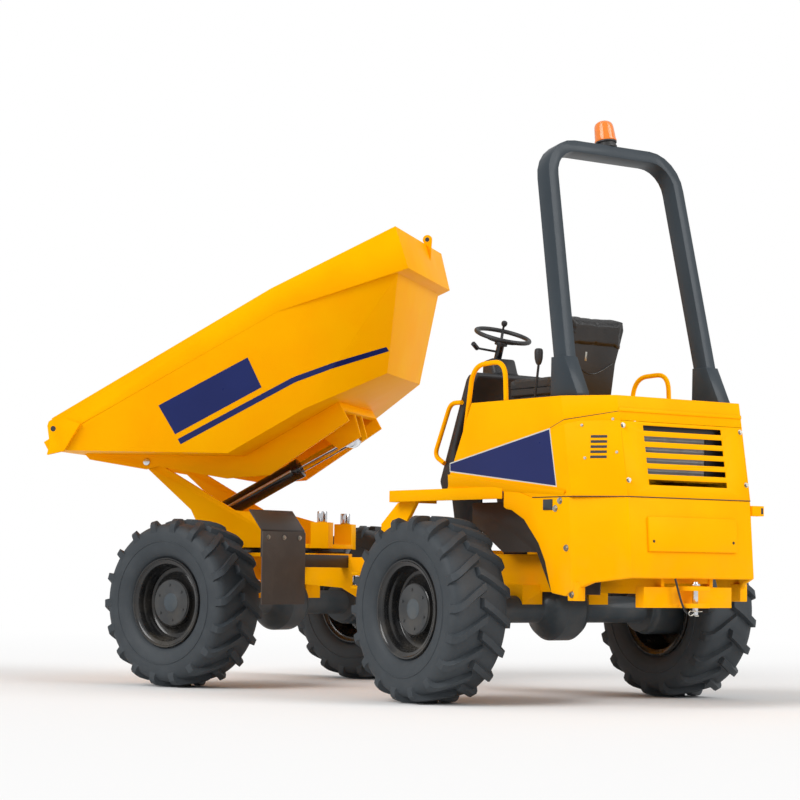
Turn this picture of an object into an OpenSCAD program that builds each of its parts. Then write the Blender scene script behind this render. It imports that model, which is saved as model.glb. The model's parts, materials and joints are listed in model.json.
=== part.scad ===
// Swivel-skip site dumper with a jointed chassis, modelled with its steering, skip swivel and skip tip part-way over.
// Millimetres. +X is forward on the rear chassis, +Y its left side, +Z up. The origin lies on the ground.

/* [Wheels] */
// Outside radius of a tyre over its lugs
tyre_r = 535; // [480:1:560]
// Width of a tyre across its sidewalls
tyre_w = 405; // [340:1:420]
// Distance between the tyre centres on one axle
track = 1900; // [1850:5:1960]
// Radius of the rim's bead seat
rim_r = 254; // [240:1:260]
// Radius of the wheel spindles
spindle_r = 60; // [40:1:70]

/* [Chassis] */
// Distance from the rear axle to the steering pivot
pivot_x = 1215; // [1180:5:1250]
// Distance from the steering pivot to the front axle
front_axle_x = 1310; // [1280:5:1340]
// Distance from the steering pivot to the skip's swivel axis
slew_x = 1200; // [1180:5:1220]
// Steering angle shown, to the left
steer = 16.6; // [0:0.1:20]
// Skip swivel angle shown, to the left
swivel = 23.6; // [0:0.1:40]
// Skip tip angle shown, nose down from a level rim
tip = 29.2; // [5:0.1:35]
// Half spacing of the chassis side plates, to their outer faces
rail_y = 195; // [180:1:205]
// Thickness of the chassis side plates
rail_t = 25; // [15:1:30]
// Radius of the steering pivot pin
pivot_r = 40; // [30:1:45]

/* [Rear body] */
// Half width of the body sides
body_y = 650; // [620:5:680]
// Half width of the flat rear panel
tail_y = 463; // [430:1:500]
// Thickness of the body sheet
sheet = 6; // [4:1:10]
// Height of the deck on top of the hood
deck_z = 1735; // [1700:5:1780]
// Height of the line where the upper body meets the tail
split_z = 1173; // [1160:1:1185]
// Lowest edge of the tail
tail_z = 745; // [720:5:780]
// Lean of the rear panel from upright
tail_lean = 9.5; // [6:0.5:11]
// Number of slots in the rear grille
slot_count = 6; // [4:1:7]
// Height of one grille slot
slot_h = 36; // [20:1:40]
// Length of the grille slots
slot_l = 590; // [400:10:640]

/* [Roll bar] */
// Height of the roll bar's top face
rops_top = 3250; // [3100:10:3350]
// Fore and aft depth of the roll bar's tube
rops_d = 110; // [90:5:130]
// Sideways width of the roll bar's tube
rops_w = 70; // [60:5:90]
// Forward lean of the roll bar
rops_lean = 11.9; // [10:0.1:13]

/* [Skip] */
// Height of the skip's hinge
hinge_z = 1455; // [1440:1:1480]
// Distance of the skip's hinge ahead of the swivel axis
hinge_x = 893; // [870:1:910]
// Height of the skip's rim over its hinge
rim_h = 465; // [440:5:490]
// Depth of the skip's floor under its hinge
floor_h = 300; // [290:1:305]
// Half width of the skip at its rim
skip_y = 905; // [860:5:930]
// Thickness of the skip's plate
plate = 10; // [8:1:14]

/* [Rams] */
// Radius of the tipping ram's barrel
tip_barrel_r = 62; // [50:1:66]
// Radius of the tipping ram's rod
tip_rod_r = 36; // [25:1:42]
// Radius of the steering rams' barrels
steer_barrel_r = 42; // [35:1:46]
// Radius of the steering rams' rods
steer_rod_r = 22; // [15:1:28]

/* [Hidden] */
$fn = 48;
// Free play of a turning or sliding fit, on the radius
play = 0.08;
// Gap between faces of different pieces that meet
seat_gap = 0.3;
axle_z = tyre_r;
wheel_y = track / 2;
// Middle of the whole machine's outline on the ground
origin = [1385, 385, 0];

// Colours of the finishes
yellow = [1.0, 0.72, 0.06];
slate = [0.27, 0.32, 0.35];
black = [0.05, 0.05, 0.06];
iron = [0.2, 0.23, 0.26];
rubber = [0.16, 0.17, 0.18];
chrome = [0.8, 0.81, 0.83];
amber = [1.0, 0.45, 0.05];

// Frames of the moving bodies, each nested in the one that carries it
module in_rear() {
  translate(-origin) children();
}

module in_front() {
  in_rear() translate([pivot_x, 0, 0]) rotate([0, 0, steer]) children();
}

module in_swivel() {
  in_front() translate([slew_x, 0, 0]) rotate([0, 0, swivel]) children();
}

module in_skip() {
  in_swivel() translate([hinge_x, 0, hinge_z]) rotate([0, tip, 0]) children();
}

// A side outline in X and Z, drawn out across Y
module across(outline, low, high) {
  translate([0, high, 0]) rotate([90, 0, 0]) linear_extrude(high - low) polygon(outline);
}

// The same outline on both sides, from inner to outer face
module both_sides(outline, inner, outer) {
  across(outline, inner, outer);
  across(outline, -outer, -inner);
}

// A box given by its two corners
module block(low, high) {
  translate(low) cube(high - low);
}

// A round bar from point to point
module bar(from, to, r) {
  run = to - from;
  translate(from) rotate([0, acos(run[2] / norm(run)), atan2(run[1], run[0])]) cylinder(h = norm(run), r = r);
}

// A round bar across Y
module cross_bar(x, z, low, high, r) {
  translate([x, high, z]) rotate([90, 0, 0]) cylinder(h = high - low, r = r);
}

// A profile of radius and offset, turned about the Y axis
module turned(profile) {
  rotate([-90, 0, 0]) rotate_extrude($fn = 72) polygon(profile);
}

// A closed skin over rings of points
module loft(rings) {
  n = len(rings[0]);
  count = len(rings);
  corners = [for (ring = rings) for (p = ring) p];
  walls = [for (k = [0:count - 2]) for (i = [0:n - 1]) for (half = [0, 1])
    let (a = k * n + i, b = k * n + (i + 1) % n, c = a + n, d = b + n) half == 0 ? [a, b, d] : [a, d, c]];
  first = [[for (i = [n - 1:-1:0]) i]];
  last = [[for (i = [0:n - 1]) (count - 1) * n + i]];
  polyhedron(points = corners, faces = concat(walls, first, last));
}

// A ring symmetrical about the machine's middle plane, from its left-hand points
function mirrored_ring(left) =
  concat(left, [for (i = [len(left) - 1:-1:0]) [left[i][0], -left[i][1], left[i][2]]]);

// Wheels

tread_y = tyre_w / 2 - 22;
bead_y = 150;
flange_r = rim_r + 32;

// Carcass radius under the lugs
carcass_r = tyre_r - 30;
lug_count = 18;
lug_w = 46;
lug_slant = 32;
lug_run = 205;

// Half outline of a tyre from bead to crown, as radius and offset
tyre_half = [
  [rim_r + seat_gap, bead_y],
  [flange_r + 3, bead_y + 3],
  [flange_r + 20, bead_y + 24],
  [tyre_r - 165, tyre_w / 2 - 4],
  [tyre_r - 130, tyre_w / 2],
  [tyre_r - 80, tyre_w / 2 - 4],
  [carcass_r - 22, tread_y + 8],
  [carcass_r - 6, tread_y - 16],
  [carcass_r, tread_y - 60]
];

module tyre() {
  lug_top = sqrt(tyre_r * tyre_r - lug_w * lug_w / 4);
  color(rubber) union() {
    turned(concat(tyre_half, [for (i = [len(tyre_half) - 1:-1:0]) [tyre_half[i][0], -tyre_half[i][1]]]));
    intersection() {
      union() for (k = [0:lug_count - 1]) for (side = [-1, 1])
        rotate([0, (k + side / 4) * 360 / lug_count, 0]) translate([0, side * 92, 0]) rotate([0, 0, side * lug_slant])
          translate([-lug_w / 2, -lug_run / 2, carcass_r - 40]) cube([lug_w, lug_run, lug_top - carcass_r + 40]);
      turned([[0, -tread_y - 6], [tyre_r - 34, -tread_y - 6], [tyre_r, -tread_y + 34], [tyre_r, tread_y - 34],
        [tyre_r - 34, tread_y + 6], [0, tread_y + 6]]);
    }
  }
}

hub_back = 40;
hub_face = 112;
well_r = rim_r - 22;
rim_t = 9;

// The rim, open in its middle
rim_half = [
  [flange_r, bead_y + 18], [flange_r, bead_y + 4], [rim_r, bead_y + 1], [rim_r, 110], [well_r, 95]
];
rim_inner_half = [
  [well_r - rim_t, 97], [rim_r - rim_t, 112], [rim_r - rim_t, bead_y + 8], [flange_r - rim_t, bead_y + 10],
  [flange_r - rim_t, bead_y + 18]
];
function flipped(points) = [for (i = [len(points) - 1:-1:0]) [points[i][0], -points[i][1]]];

// The dished disc and hub, bored for the spindle
dish_y = 66;
hub_r = 150;
cap_h = 22;

module wheel() {
  color(black) union() {
    turned(concat(rim_half, flipped(rim_half), flipped(rim_inner_half), rim_inner_half));
    turned([
      [0, hub_face + cap_h], [66, hub_face + cap_h], [70, hub_face], [hub_r, hub_face], [hub_r, hub_face - 26],
      [well_r - 1, dish_y], [well_r - 1, dish_y - 14], [hub_r, hub_face - 40], [118, hub_face - 40], [110, hub_back],
      [spindle_r + play, hub_back], [spindle_r + play, hub_face + 10], [0, hub_face + 10]
    ]);
  }
}

// One wheel position: the left side's outer face looks along +Y
module at_wheel(side) {
  translate([0, side * wheel_y, axle_z]) mirror([0, side < 0 ? 1 : 0, 0]) children();
}

// Axles

hub_shoulder = wheel_y + hub_back - 4;
spindle_end = wheel_y + hub_face + 8;
axle_tube_r = 80;
axle_half = [
  [185, 0], [185, 70], [160, 110], [95, 150], [axle_tube_r, 165], [axle_tube_r, 640], [135, 640], [135, 668],
  [150, 690], [150, hub_shoulder], [spindle_r, hub_shoulder], [spindle_r, spindle_end], [0, spindle_end]
];

module axle() {
  turned(concat([for (i = [len(axle_half) - 1:-1:0]) [axle_half[i][0], -axle_half[i][1]]], axle_half));
}

// Frames

frame_low = 640;
frame_top = 860;
// Top of the front frame, under the slew ring
front_top = 860;
yoke_gap = 5;
lug_t = 36;
rear_lug_low = 480;
rear_lug_high = 770;
front_lug_low = rear_lug_low + lug_t + yoke_gap;
front_lug_high = rear_lug_high - lug_t - yoke_gap;
lug_r = 88;
tongue = 200;
// Outer face of the braces that carry the step
brace_y = 585;

// Axle seat: the block that ties the axle tube to one side plate
module axle_seats(x) {
  for (side = [-1, 1])
    difference() {
      translate([x - 75, side * (rail_y + 60) - 75, axle_z + 30]) cube([150, 150, frame_low + 40 - axle_z - 30]);
      cross_bar(x, axle_z, -wheel_y, wheel_y, axle_tube_r + seat_gap);
    }
}

// Inner face of the tail's rear wall at a height
tail_tilt = 4;
tail_wall = 20;
function tail_in(z) = split_x - 30 + tail_wall + seat_gap + (z - tail_z) * tan(tail_tilt);

// Ears above and below a steering ram's eye, reaching out from a side plate
ear_t = 16;
ear_r = 46;
ram_pin_r = 20;
ram_eye_w = 32;
module ram_ears(x, y, clear, bored) {
  for (side = [-1, 1]) for (z = [steer_z - clear - ear_t, steer_z + clear])
    difference() {
      union() {
        translate([x, side * y, z]) cylinder(h = ear_t, r = ear_r);
        block([x - ear_r, min(side * rail_y, side * y), z], [x + ear_r, max(side * rail_y, side * y), z + ear_t]);
      }
      if (bored) translate([x, side * y, z - 1]) cylinder(h = ear_t + 2, r = ram_pin_r + play);
    }
}

module rear_frame() {
  plate_front = pivot_x - tongue;
  color(yellow) in_rear() difference() {
    union() {
      both_sides([[tail_in(tail_z), tail_z], [tail_in(frame_top), frame_top], [plate_front, frame_top],
        [plate_front, rear_lug_low], [plate_front - 170, rear_lug_low], [plate_front - 420, frame_low],
        [hitch_x + 130, frame_low], [hitch_x + 90, hitch_seat], [hitch_x, hitch_seat], [hitch_x, tail_z]], rail_y - rail_t, rail_y);
      for (x = [-1120, 430])
        block([x, -rail_y, frame_low + 60], [x + rail_t, rail_y, frame_top]);
      block([plate_front - rail_t, -rail_y, rear_lug_low], [plate_front, rail_y, frame_top]);
      axle_seats(0);
      for (z = [rear_lug_low, rear_lug_high]) {
        translate([pivot_x, 0, z]) cylinder(h = lug_t, r = lug_r);
        block([plate_front - 60, -lug_r, z], [pivot_x, lug_r, z + lug_t]);
      }
      ram_ears(pivot_x + steer_rear[0], steer_rear[1], ram_eye_w + 2, true);
      both_sides([[plate_front - 10, frame_top + 20], [plate_front - 10, frame_top + 180],
        [step_front + 12, step_top - 71], [step_front - sheet - 1, step_top - 71],
        [step_front - sheet - 1, step_top - sheet - seat_gap], [step_front - 230, step_top - sheet - seat_gap],
        [plate_front - 130, frame_top + 20]], brace_y - rail_t, brace_y);
      for (side = [-1, 1])
        block([plate_front - 120, side > 0 ? rail_y - 5 : -brace_y, frame_top - 20],
          [plate_front - 15, side > 0 ? brace_y : -rail_y + 5, frame_top + 30]);
      both_sides([[rops_foot_x - 60, frame_top - 1], [rops_foot_x - 60, rops_foot_z - 60], [rops_foot_x + 60, rops_foot_z - 60],
        [rops_foot_x + 60, frame_top - 1]], rail_y - rail_t, rail_y);
      block([rops_foot_x - 70, -rops_foot_y - 45, rops_foot_z - 70], [rops_foot_x + 70, rops_foot_y + 45, rops_foot_z - seat_gap]);
    }
    translate([pivot_x, 0, 0]) cylinder(h = frame_top, r = pivot_r + play);
  }
}

module articulation_pin() {
  cap = 14;
  top = rear_lug_high + lug_t + seat_gap;
  color(chrome) in_rear() translate([pivot_x, 0, 0]) {
    translate([0, 0, rear_lug_low - 10]) cylinder(h = top - rear_lug_low + 10, r = pivot_r);
    translate([0, 0, top]) cylinder(h = cap, r = pivot_r + 22);
  }
}

module rear_axle() {
  color(iron) in_rear() translate([0, 0, axle_z]) axle();
}

module front_axle() {
  color(iron) in_front() translate([front_axle_x, 0, axle_z]) axle();
}

slew_r = 395;
slew_low = front_top + 2;
slew_top = slew_low + 33;
front_end = front_axle_x + 330;

module front_frame() {
  color(yellow) in_front() difference() {
    union() {
      both_sides([[tongue, front_lug_low], [tongue, front_top - 22], [front_end, front_top - 22], [front_end, frame_low + 60],
        [tongue + 420, frame_low], [tongue + 170, front_lug_low]], rail_y - rail_t, rail_y);
      translate([slew_x, 0, front_top - 22]) cylinder(h = 24, r = slew_r);
      block([tongue, -rail_y, front_lug_low], [tongue + rail_t, rail_y, front_top - 22]);
      block([front_end - rail_t, -rail_y, frame_low + 60], [front_end, rail_y, front_top - 22]);
      axle_seats(front_axle_x);
      ram_ears(steer_front[0], steer_front[1], ram_eye_w + 6, false);
      for (z = [front_lug_low, front_lug_high]) {
        translate([0, 0, z]) cylinder(h = lug_t, r = lug_r);
        block([0, -lug_r, z], [tongue + 60, lug_r, z + lug_t]);
      }
    }
    cylinder(h = front_top, r = pivot_r + play);
  }
}

module slew_ring() {
  color(black) in_front() translate([slew_x, 0, slew_low]) difference() {
    cylinder(h = slew_top - slew_low, r = slew_r);
    translate([0, 0, -1]) cylinder(h = slew_top, r = slew_r - 110);
  }
}

// Rear body

split_x = -1153;
corner_x = -900;
deck_front = 14;
skirt_front = [220, 1320];
skirt_rear = 1595;
step_top = 1240;
step_front = 820;
step_back = -330;
// Front edge of the side skins behind the rear wheels
skin_front = -290;

// Plan of the body inside a wall of the given depth, about the rear panel's lower edge
function body_plan(depth) = [
  [1400, -body_y + depth], [corner_x - split_x + depth * 0.3, -body_y + depth], [depth, -tail_y + depth * 0.7],
  [depth, tail_y - depth * 0.7], [corner_x - split_x + depth * 0.3, body_y - depth], [1400, body_y - depth]
];

// The leaning body wall, cut later to the panels
module body_wall() {
  translate([split_x, 0, split_z]) rotate([0, tail_lean, 0]) translate([0, 0, -300]) linear_extrude(1200) difference() {
    polygon(body_plan(0));
    polygon(body_plan(sheet));
  }
}

hood_side = [skirt_front, [deck_front, deck_z], [-1300, deck_z], [-1300, skirt_rear], [corner_x, skirt_rear]];
panel_side = [[skirt_front[0], skirt_front[1] - seat_gap], [corner_x, skirt_rear - seat_gap],
  [-1300, skirt_rear - seat_gap], [-1300, split_z + seat_gap], [step_back - 225, split_z + seat_gap],
  [step_back, step_top + seat_gap], [skirt_front[0] + 20, step_top + seat_gap]];

module hood() {
  color(yellow) in_rear() difference() {
    union() {
      intersection() {
        body_wall();
        across(hood_side, -body_y, body_y);
      }
      intersection() {
        translate([split_x, 0, split_z]) rotate([0, tail_lean, 0]) translate([0, 0, -300]) linear_extrude(1200)
          polygon(body_plan(1));
        across([[deck_front + 3, deck_z - sheet], [deck_front, deck_z], [-1300, deck_z], [-1300, deck_z - sheet]], -body_y, body_y);
      }
      across([[deck_front - sheet, deck_z - 1], [deck_front, deck_z - 1], [deck_front + 16, step_top + seat_gap],
        [deck_front + 16 - sheet, step_top + seat_gap]], -body_y + 45, body_y - 45);
    }
    for (side = [-1, 1]) rops_leg(side, 6);
  }
}

module side_panels() {
  color(yellow) in_rear() intersection() {
    body_wall();
    across(panel_side, -body_y, body_y);
    union() for (side = [-1, 1])
      translate([-2000, side > 0 ? tail_y - 5 : -body_y, 0]) cube([4000, body_y - tail_y + 5, deck_z]);
  }
}

grille_low = 70;

module grille_panel() {
  pitch = slot_h * 2;
  rise = (skirt_rear - split_z) / cos(tail_lean) - 2;
  color(yellow) in_rear() translate([split_x, 0, split_z]) rotate([0, tail_lean, 0]) difference() {
    translate([0, -tail_y + 5 + seat_gap, 1.5]) cube([sheet, 2 * (tail_y - 5 - seat_gap), rise - 1.5]);
    for (k = [0:slot_count - 1])
      translate([-1, -slot_l / 2, grille_low + k * pitch * 0.85]) cube([sheet + 2, slot_l, slot_h * 0.85]);
  }
}

module radiator() {
  color([0.45, 0.46, 0.46]) in_rear() block([-1040, -tail_y + 60, frame_top], [-960, tail_y - 60, 1560]);
}

module engine_block() {
  color(iron) in_rear() block([-740, -280, frame_top], [-170, 280, 1480]);
}

// Edge of the side skin round the rear wheel, from its front to its foot
wheel_arch = [[skin_front, 1114], [-362, 1104], [-478, 1048], [-609, 913], [-666, 815], [-725, 639], [-849, 622]];

module tail_panel() {
  color(yellow) in_rear() difference() {
    intersection() {
      translate([split_x - 30, 0, tail_z]) rotate([0, tail_tilt, 0]) translate([0, 0, -120]) linear_extrude(800)
        polygon([[960, -body_y], [corner_x - split_x + 30, -body_y], [0, -tail_y], [0, tail_y],
          [corner_x - split_x + 30, body_y], [960, body_y]]);
      across(concat([[-1300, tail_z], [-1300, split_z - seat_gap], [step_back - 225, split_z - seat_gap],
        [step_back, step_top - seat_gap], [skin_front, step_top - seat_gap]], wheel_arch, [[-1000, 700]]), -body_y, body_y);
    }
    intersection() {
      translate([split_x - 30, 0, tail_z]) rotate([0, tail_tilt, 0]) translate([0, 0, -120]) linear_extrude(800)
        polygon([[980, -body_y + 30], [corner_x - split_x + 40, -body_y + 30], [tail_wall, -tail_y + 20], [tail_wall, tail_y - 20],
          [corner_x - split_x + 40, body_y - 30], [980, body_y - 30]]);
      block([-1300, -body_y, 500], [0, body_y, step_top + 60]);
    }
    cross_bar(0, axle_z, -body_y - 10, body_y + 10, tyre_r + 120);
  }
}

cover_t = 16;
module tail_cover() {
  color(yellow) in_rear() translate([split_x - 30, 0, tail_z]) rotate([0, tail_tilt, 0])
    translate([-cover_t - seat_gap, -330, 130]) cube([cover_t, 660, 190]);
}

fender_in = 300;
module fenders() {
  color(yellow) in_rear() difference() {
    both_sides([[step_front, step_top - 70], [step_front, step_top], [skin_front + 2 * seat_gap, step_top],
      [skin_front + 2 * seat_gap, step_top - 70]], fender_in, body_y + 10);
    both_sides([[step_front - sheet, step_top - 80], [step_front - sheet, step_top - sheet], [skin_front - 10, step_top - sheet],
      [skin_front - 10, step_top - 80]], fender_in - 10, body_y + 10 - sheet);
  }
}

floor_back = -120;
module floor_plate() {
  leg_in = rail_y - rail_t;
  color(slate) in_rear() union() {
    block([floor_back, -fender_in + seat_gap, step_top - sheet], [step_front, fender_in - seat_gap, step_top]);
    both_sides([[step_front - 80, frame_top], [step_front, step_top - sheet], [step_front - 300, step_top - sheet],
      [step_front - 300, frame_top]], leg_in, rail_y - 10);
    both_sides([[floor_back, frame_top], [floor_back, step_top - sheet], [floor_back + 40, step_top - sheet],
      [floor_back + 40, frame_top]], leg_in, rail_y - 10);
  }
}

cowl_y = 262;
pod_y = 92;
module console() {
  color(black) in_rear() across([[700, step_top], [815, step_top], [848, 1310], [588, 1930], [560, 1962], [475, 1972],
    [462, 1940], [560, 1850], [690, 1520]], -cowl_y, cowl_y);
  color(black) in_rear() across([[650, 1780], [640, 2060], [540, 2075], [500, 1965], [540, 1900]], -pod_y, pod_y);
}

wheel_tilt = 20;
wheel_at = [567, 0, 2173];
column_r = 24;

module at_steering_wheel() {
  in_rear() translate(wheel_at) rotate([0, -wheel_tilt, 0]) children();
}

module steering_column() {
  color(black) difference() {
    at_steering_wheel() union() {
      translate([0, 0, -116]) cylinder(h = 101, r = column_r);
      bar([0, 0, -60], [20, 165, -50], 7);
      bar([20, 160, -52], [12, 205, -22], 15);
    }
    console();
  }
}

dish = 45;
module steering_wheel() {
  ring_r = 168;
  color(black) at_steering_wheel() {
    translate([0, 0, dish]) rotate_extrude() translate([ring_r, 0]) circle(r = 14);
    for (k = [0:2])
      rotate([0, 0, k * 120]) bar([20, 0, 4], [ring_r - 4, 0, dish - 2], 8);
    translate([0, 0, -15 + seat_gap]) cylinder(h = 34, r = 40);
    rotate([0, 0, 60]) translate([ring_r, 0, dish + 8]) cylinder(h = 48, r = 19);
  }
}

module control_levers() {
  color(black) in_rear() {
    bar([-120, 290, deck_z + 5], [-135, 280, deck_z + 290], 8);
    translate([-135, 280, deck_z + 310]) cube([44, 40, 48], center = true);
    translate([-120, 290, deck_z]) cylinder(h = 30, r1 = 45, r2 = 16);
  }
}

seat_lean = 10;
pan_h = 70;
seat_rear = -230;

module at_seat_back() {
  in_rear() translate([seat_rear, 0, deck_z + pan_h]) rotate([0, -seat_lean, 0]) children();
}

module seat_base() {
  color(black) {
    in_rear() block([seat_rear - 30, -180, deck_z], [160, 180, deck_z + pan_h]);
    at_seat_back() block([-30, -195, -12], [-15, 195, 400]);
  }
}

module seat_cushion() {
  color(black) in_rear() block([seat_rear + 75, -215, deck_z + pan_h + seat_gap], [250, 215, deck_z + pan_h + 85]);
}

module seat_back() {
  color(black) at_seat_back() block([-15 + seat_gap, -190, 16], [58, 190, 390]);
}

rail_r = 14;
loop_y = cowl_y + rail_r + seat_gap;

// Round tube through points, with a slightly fuller ball at each bend
module tube_path(points, r) {
  for (k = [0:len(points) - 2]) bar(points[k], points[k + 1], r);
  for (k = [1:len(points) - 2]) translate(points[k]) sphere(r = r + 1.2);
}

module grab_rails() {
  y = body_y - sheet - rail_r - seat_gap;
  color(yellow) in_rear() difference() {
    union() for (side = [-1, 1]) {
      tube_path([[118, side * y, 1465], [2, side * y, 1990], [-208, side * y, 1990], [-283, side * y, deck_z - 10]], rail_r);
      tube_path([[600, side * loop_y, 1775], [700, side * loop_y, 1775], [852, side * loop_y, 1475], [770, side * loop_y, 1420]],
        rail_r);
    }
    block([-400, -body_y, deck_z - 60], [-200, body_y, deck_z + seat_gap]);
  }
}

// Roll bar

rops_foot_z = 1245;
rops_foot_x = -845;
rops_foot_y = 570;
rops_in = 2.7;
rops_h = (rops_top - rops_foot_z) / cos(rops_lean);
rops_bend = 230;

// One straight leg, grown by a clearance when it cuts its way through a panel
module rops_leg(side, grow) {
  translate([rops_foot_x, side * rops_foot_y, rops_foot_z]) rotate([side * rops_in, rops_lean, 0])
    translate([-rops_d / 2 - grow, -rops_w / 2 - grow, -40])
      cube([rops_d + 2 * grow, rops_w + 2 * grow, rops_h - rops_bend + 40]);
}

// One edge of the roll bar in its own plane, from foot to foot over the top
function rops_edge(foot_y, r) = concat(
  [[foot_y + 40 * tan(rops_in), -40]],
  [for (a = [0:15:90]) [rops_corner_y + r * cos(a), rops_shoulder + r * sin(a)]],
  [for (a = [90:15:180]) [-rops_corner_y + r * cos(a), rops_shoulder + r * sin(a)]],
  [[-foot_y - 40 * tan(rops_in), -40]]);

rops_shoulder = rops_h - rops_bend;
rops_corner_y = rops_foot_y - rops_shoulder * tan(rops_in) + rops_w / 2 - rops_bend;

// A wedge foot that stands on the deck round each leg
foot_top = 1965;
function rops_x(z) = rops_foot_x + (z - rops_foot_z) * tan(rops_lean);
module rops_feet() {
  y = rops_foot_y - (foot_top - rops_foot_z) * tan(rops_in);
  half = rops_d / 2 / cos(rops_lean);
  both_sides([[rops_x(foot_top) - half - 3, foot_top], [rops_x(foot_top) + half + 3, foot_top],
    [rops_x(foot_top) + half + 8, deck_z + seat_gap], [rops_x(deck_z) - half - 60, deck_z + seat_gap],
    [rops_x(deck_z) - half - 60, deck_z + 22]], y - rops_w / 2 - 8, y + rops_w / 2 + 14);
}

module rops_frame() {
  outer = rops_edge(rops_foot_y + rops_w / 2, rops_bend);
  inner = rops_edge(rops_foot_y - rops_w / 2, rops_bend - rops_w);
  color(slate) in_rear() {
    intersection() {
      translate([rops_foot_x, 0, rops_foot_z]) rotate([0, rops_lean, 0])
        rotate([90, 0, 90]) translate([0, 0, -rops_d / 2]) linear_extrude(rops_d)
          polygon(concat(outer, [for (i = [len(inner) - 1:-1:0]) inner[i]]));
      block([-3000, -body_y, rops_foot_z], [0, body_y, rops_top + 200]);
    }
    rops_feet();
  }
}

beacon_r = 66;

module at_beacon() {
  in_rear() translate([rops_foot_x, 0, rops_foot_z]) rotate([0, rops_lean, 0]) translate([0, 0, rops_h]) children();
}

module beacon_base() {
  color(black) at_beacon() translate([0, 0, seat_gap]) cylinder(h = 42, r = beacon_r - 4);
}

module beacon_lens() {
  color(amber) at_beacon() translate([0, 0, 42 + 2 * seat_gap]) {
    cylinder(h = 105, r1 = beacon_r, r2 = beacon_r - 12);
    translate([0, 0, 105]) cylinder(h = 25, r1 = beacon_r - 12, r2 = 20);
  }
}

// Tow hitch under the tail
hitch_z = 585;
hitch_x = -1130;
hitch_seat = frame_low + 40;

module tow_hitch() {
  color(iron) in_rear() difference() {
    union() {
      block([hitch_x - 10, -330, hitch_z - 20], [hitch_x + 60, 330, hitch_seat]);
      block([hitch_x - 110, -70, hitch_z - 20], [hitch_x, 70, hitch_z + 5]);
      block([hitch_x - 110, -70, hitch_z + 75], [hitch_x, 70, hitch_z + 100]);
      block([hitch_x - 10, -110, hitch_z - 20], [hitch_x + 10, 110, hitch_z + 100]);
    }
    translate([hitch_x - 65, 0, 0]) cylinder(h = 1000, r = 16 + play);
  }
}

module tow_pin() {
  color(chrome) in_rear() translate([hitch_x - 65, 0, hitch_z - 60]) {
    cylinder(h = 185, r = 16);
    translate([0, 0, 160 + seat_gap]) cylinder(h = 14, r = 28);
  }
}

// Front mudguards behind the front wheels
flap_x = front_axle_x - tyre_r - 210;

flap_in = 640;
flap_out = 1055;
flap_join = 1000;
flap_lip = 1125;

// Carrier beams, and over each flap a plate whose head leans forward over the tyre
module flap_plates() {
  color(black) in_front() for (side = [-1, 1]) {
    low = side > 0 ? flap_in : -flap_out;
    high = side > 0 ? flap_out : -flap_in;
    block([flap_x, side > 0 ? rail_y : -flap_in - 60, 770], [flap_x + 60, side > 0 ? flap_in + 60 : -rail_y, 850]);
    across([[flap_x, 830], [flap_x, flap_join], [flap_x + 105, flap_lip], [flap_x + 111, flap_lip - 6],
      [flap_x + 8, flap_join - 4], [flap_x + 8, 830]], low, high);
  }
}

module mud_flaps() {
  color([0.2, 0.18, 0.17]) in_front() for (side = [-1, 1])
    block([flap_x - 8 - seat_gap, side > 0 ? flap_in : -flap_out, 535], [flap_x - seat_gap, side > 0 ? flap_out : -flap_in, flap_join - 12]);
}

// Slope of the skip's nose, as its height over the hinge at a distance ahead of it
nose_slope = tan(30);
nose_rise = 56;
function nose_z(x) = nose_rise + nose_slope * x;

// Turntable that carries the skip
base_t = 28;
base_low = slew_top + seat_gap;
base_top = base_low + base_t;
arm_out = 400;
arm_in = 365;
hinge_r = 24;
boss_r = 40;
ram_base = [561, 1106];
post_foot = 170;

arm_bend = 290;
arm_gap = 24;
// Top edge of the arms, a gap under the level skip's nose
function arm_top(x) = hinge_z + nose_z(x - hinge_x) - arm_gap;

module swivel_base() {
  color(yellow) in_swivel() difference() {
    union() {
      translate([0, 0, base_low]) cylinder(h = base_t, r = slew_r + 5);
      block([-20, -arm_out, base_low], [560, arm_out, base_top]);
      both_sides([[-120, base_low], [-120, 1060], [100, 1120], [arm_bend, arm_top(arm_bend)],
        [hinge_x - 30, arm_top(hinge_x - 30)], [hinge_x + 36, hinge_z - 16], [590, 1140], [560, 1080], [560, base_low]],
        arm_in, arm_out);
      for (side = [-1, 1])
        cross_bar(hinge_x, hinge_z, side > 0 ? arm_in : -arm_out, side > 0 ? arm_out : -arm_in, boss_r);
      for (side = [-1, 1])
        translate([-340, side * 285 - 60, base_low]) cube([120, 120, post_foot]);
      both_sides([[440, base_top - 1], [440, 1060], [520, 1150], [600, 1150], [600, 1000], [560, base_low]], 70, 100);
    }
    cross_bar(hinge_x, hinge_z, -500, 500, hinge_r + play);
    cross_bar(ram_base[0], ram_base[1], -150, 150, hinge_r + play);
  }
}

module rest_posts() {
  color(chrome) in_swivel() for (side = [-1, 1])
    translate([-280, side * 285, base_low + post_foot]) cylinder(h = 75, r = 26);
}

// Skip, drawn level about its hinge

kink_x = -(floor_h + nose_rise) / nose_slope;
lip_x = 432;
crease_y = skip_y - 34;
floor_y = skip_y - 105;

// Left half of the tub's outline at each station, inside a wall of the given depth
function tub_stations(t) = [
  [[lip_x + t * 4, floor_y + 62 - t, nose_z(lip_x + t * 4) + t], [lip_x + t * 4, crease_y - t - 4, nose_z(lip_x) + 70]],
  [[kink_x, floor_y - t, -floor_h + t], [kink_x - 30, crease_y - t, 350]],
  [[-1200, floor_y - t, -floor_h + t], [-1357, crease_y - t, 330]],
  [[-1715 + t, 450 - t, -floor_h + t], [-2110 + t, 575 - t, 210]]
];

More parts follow.
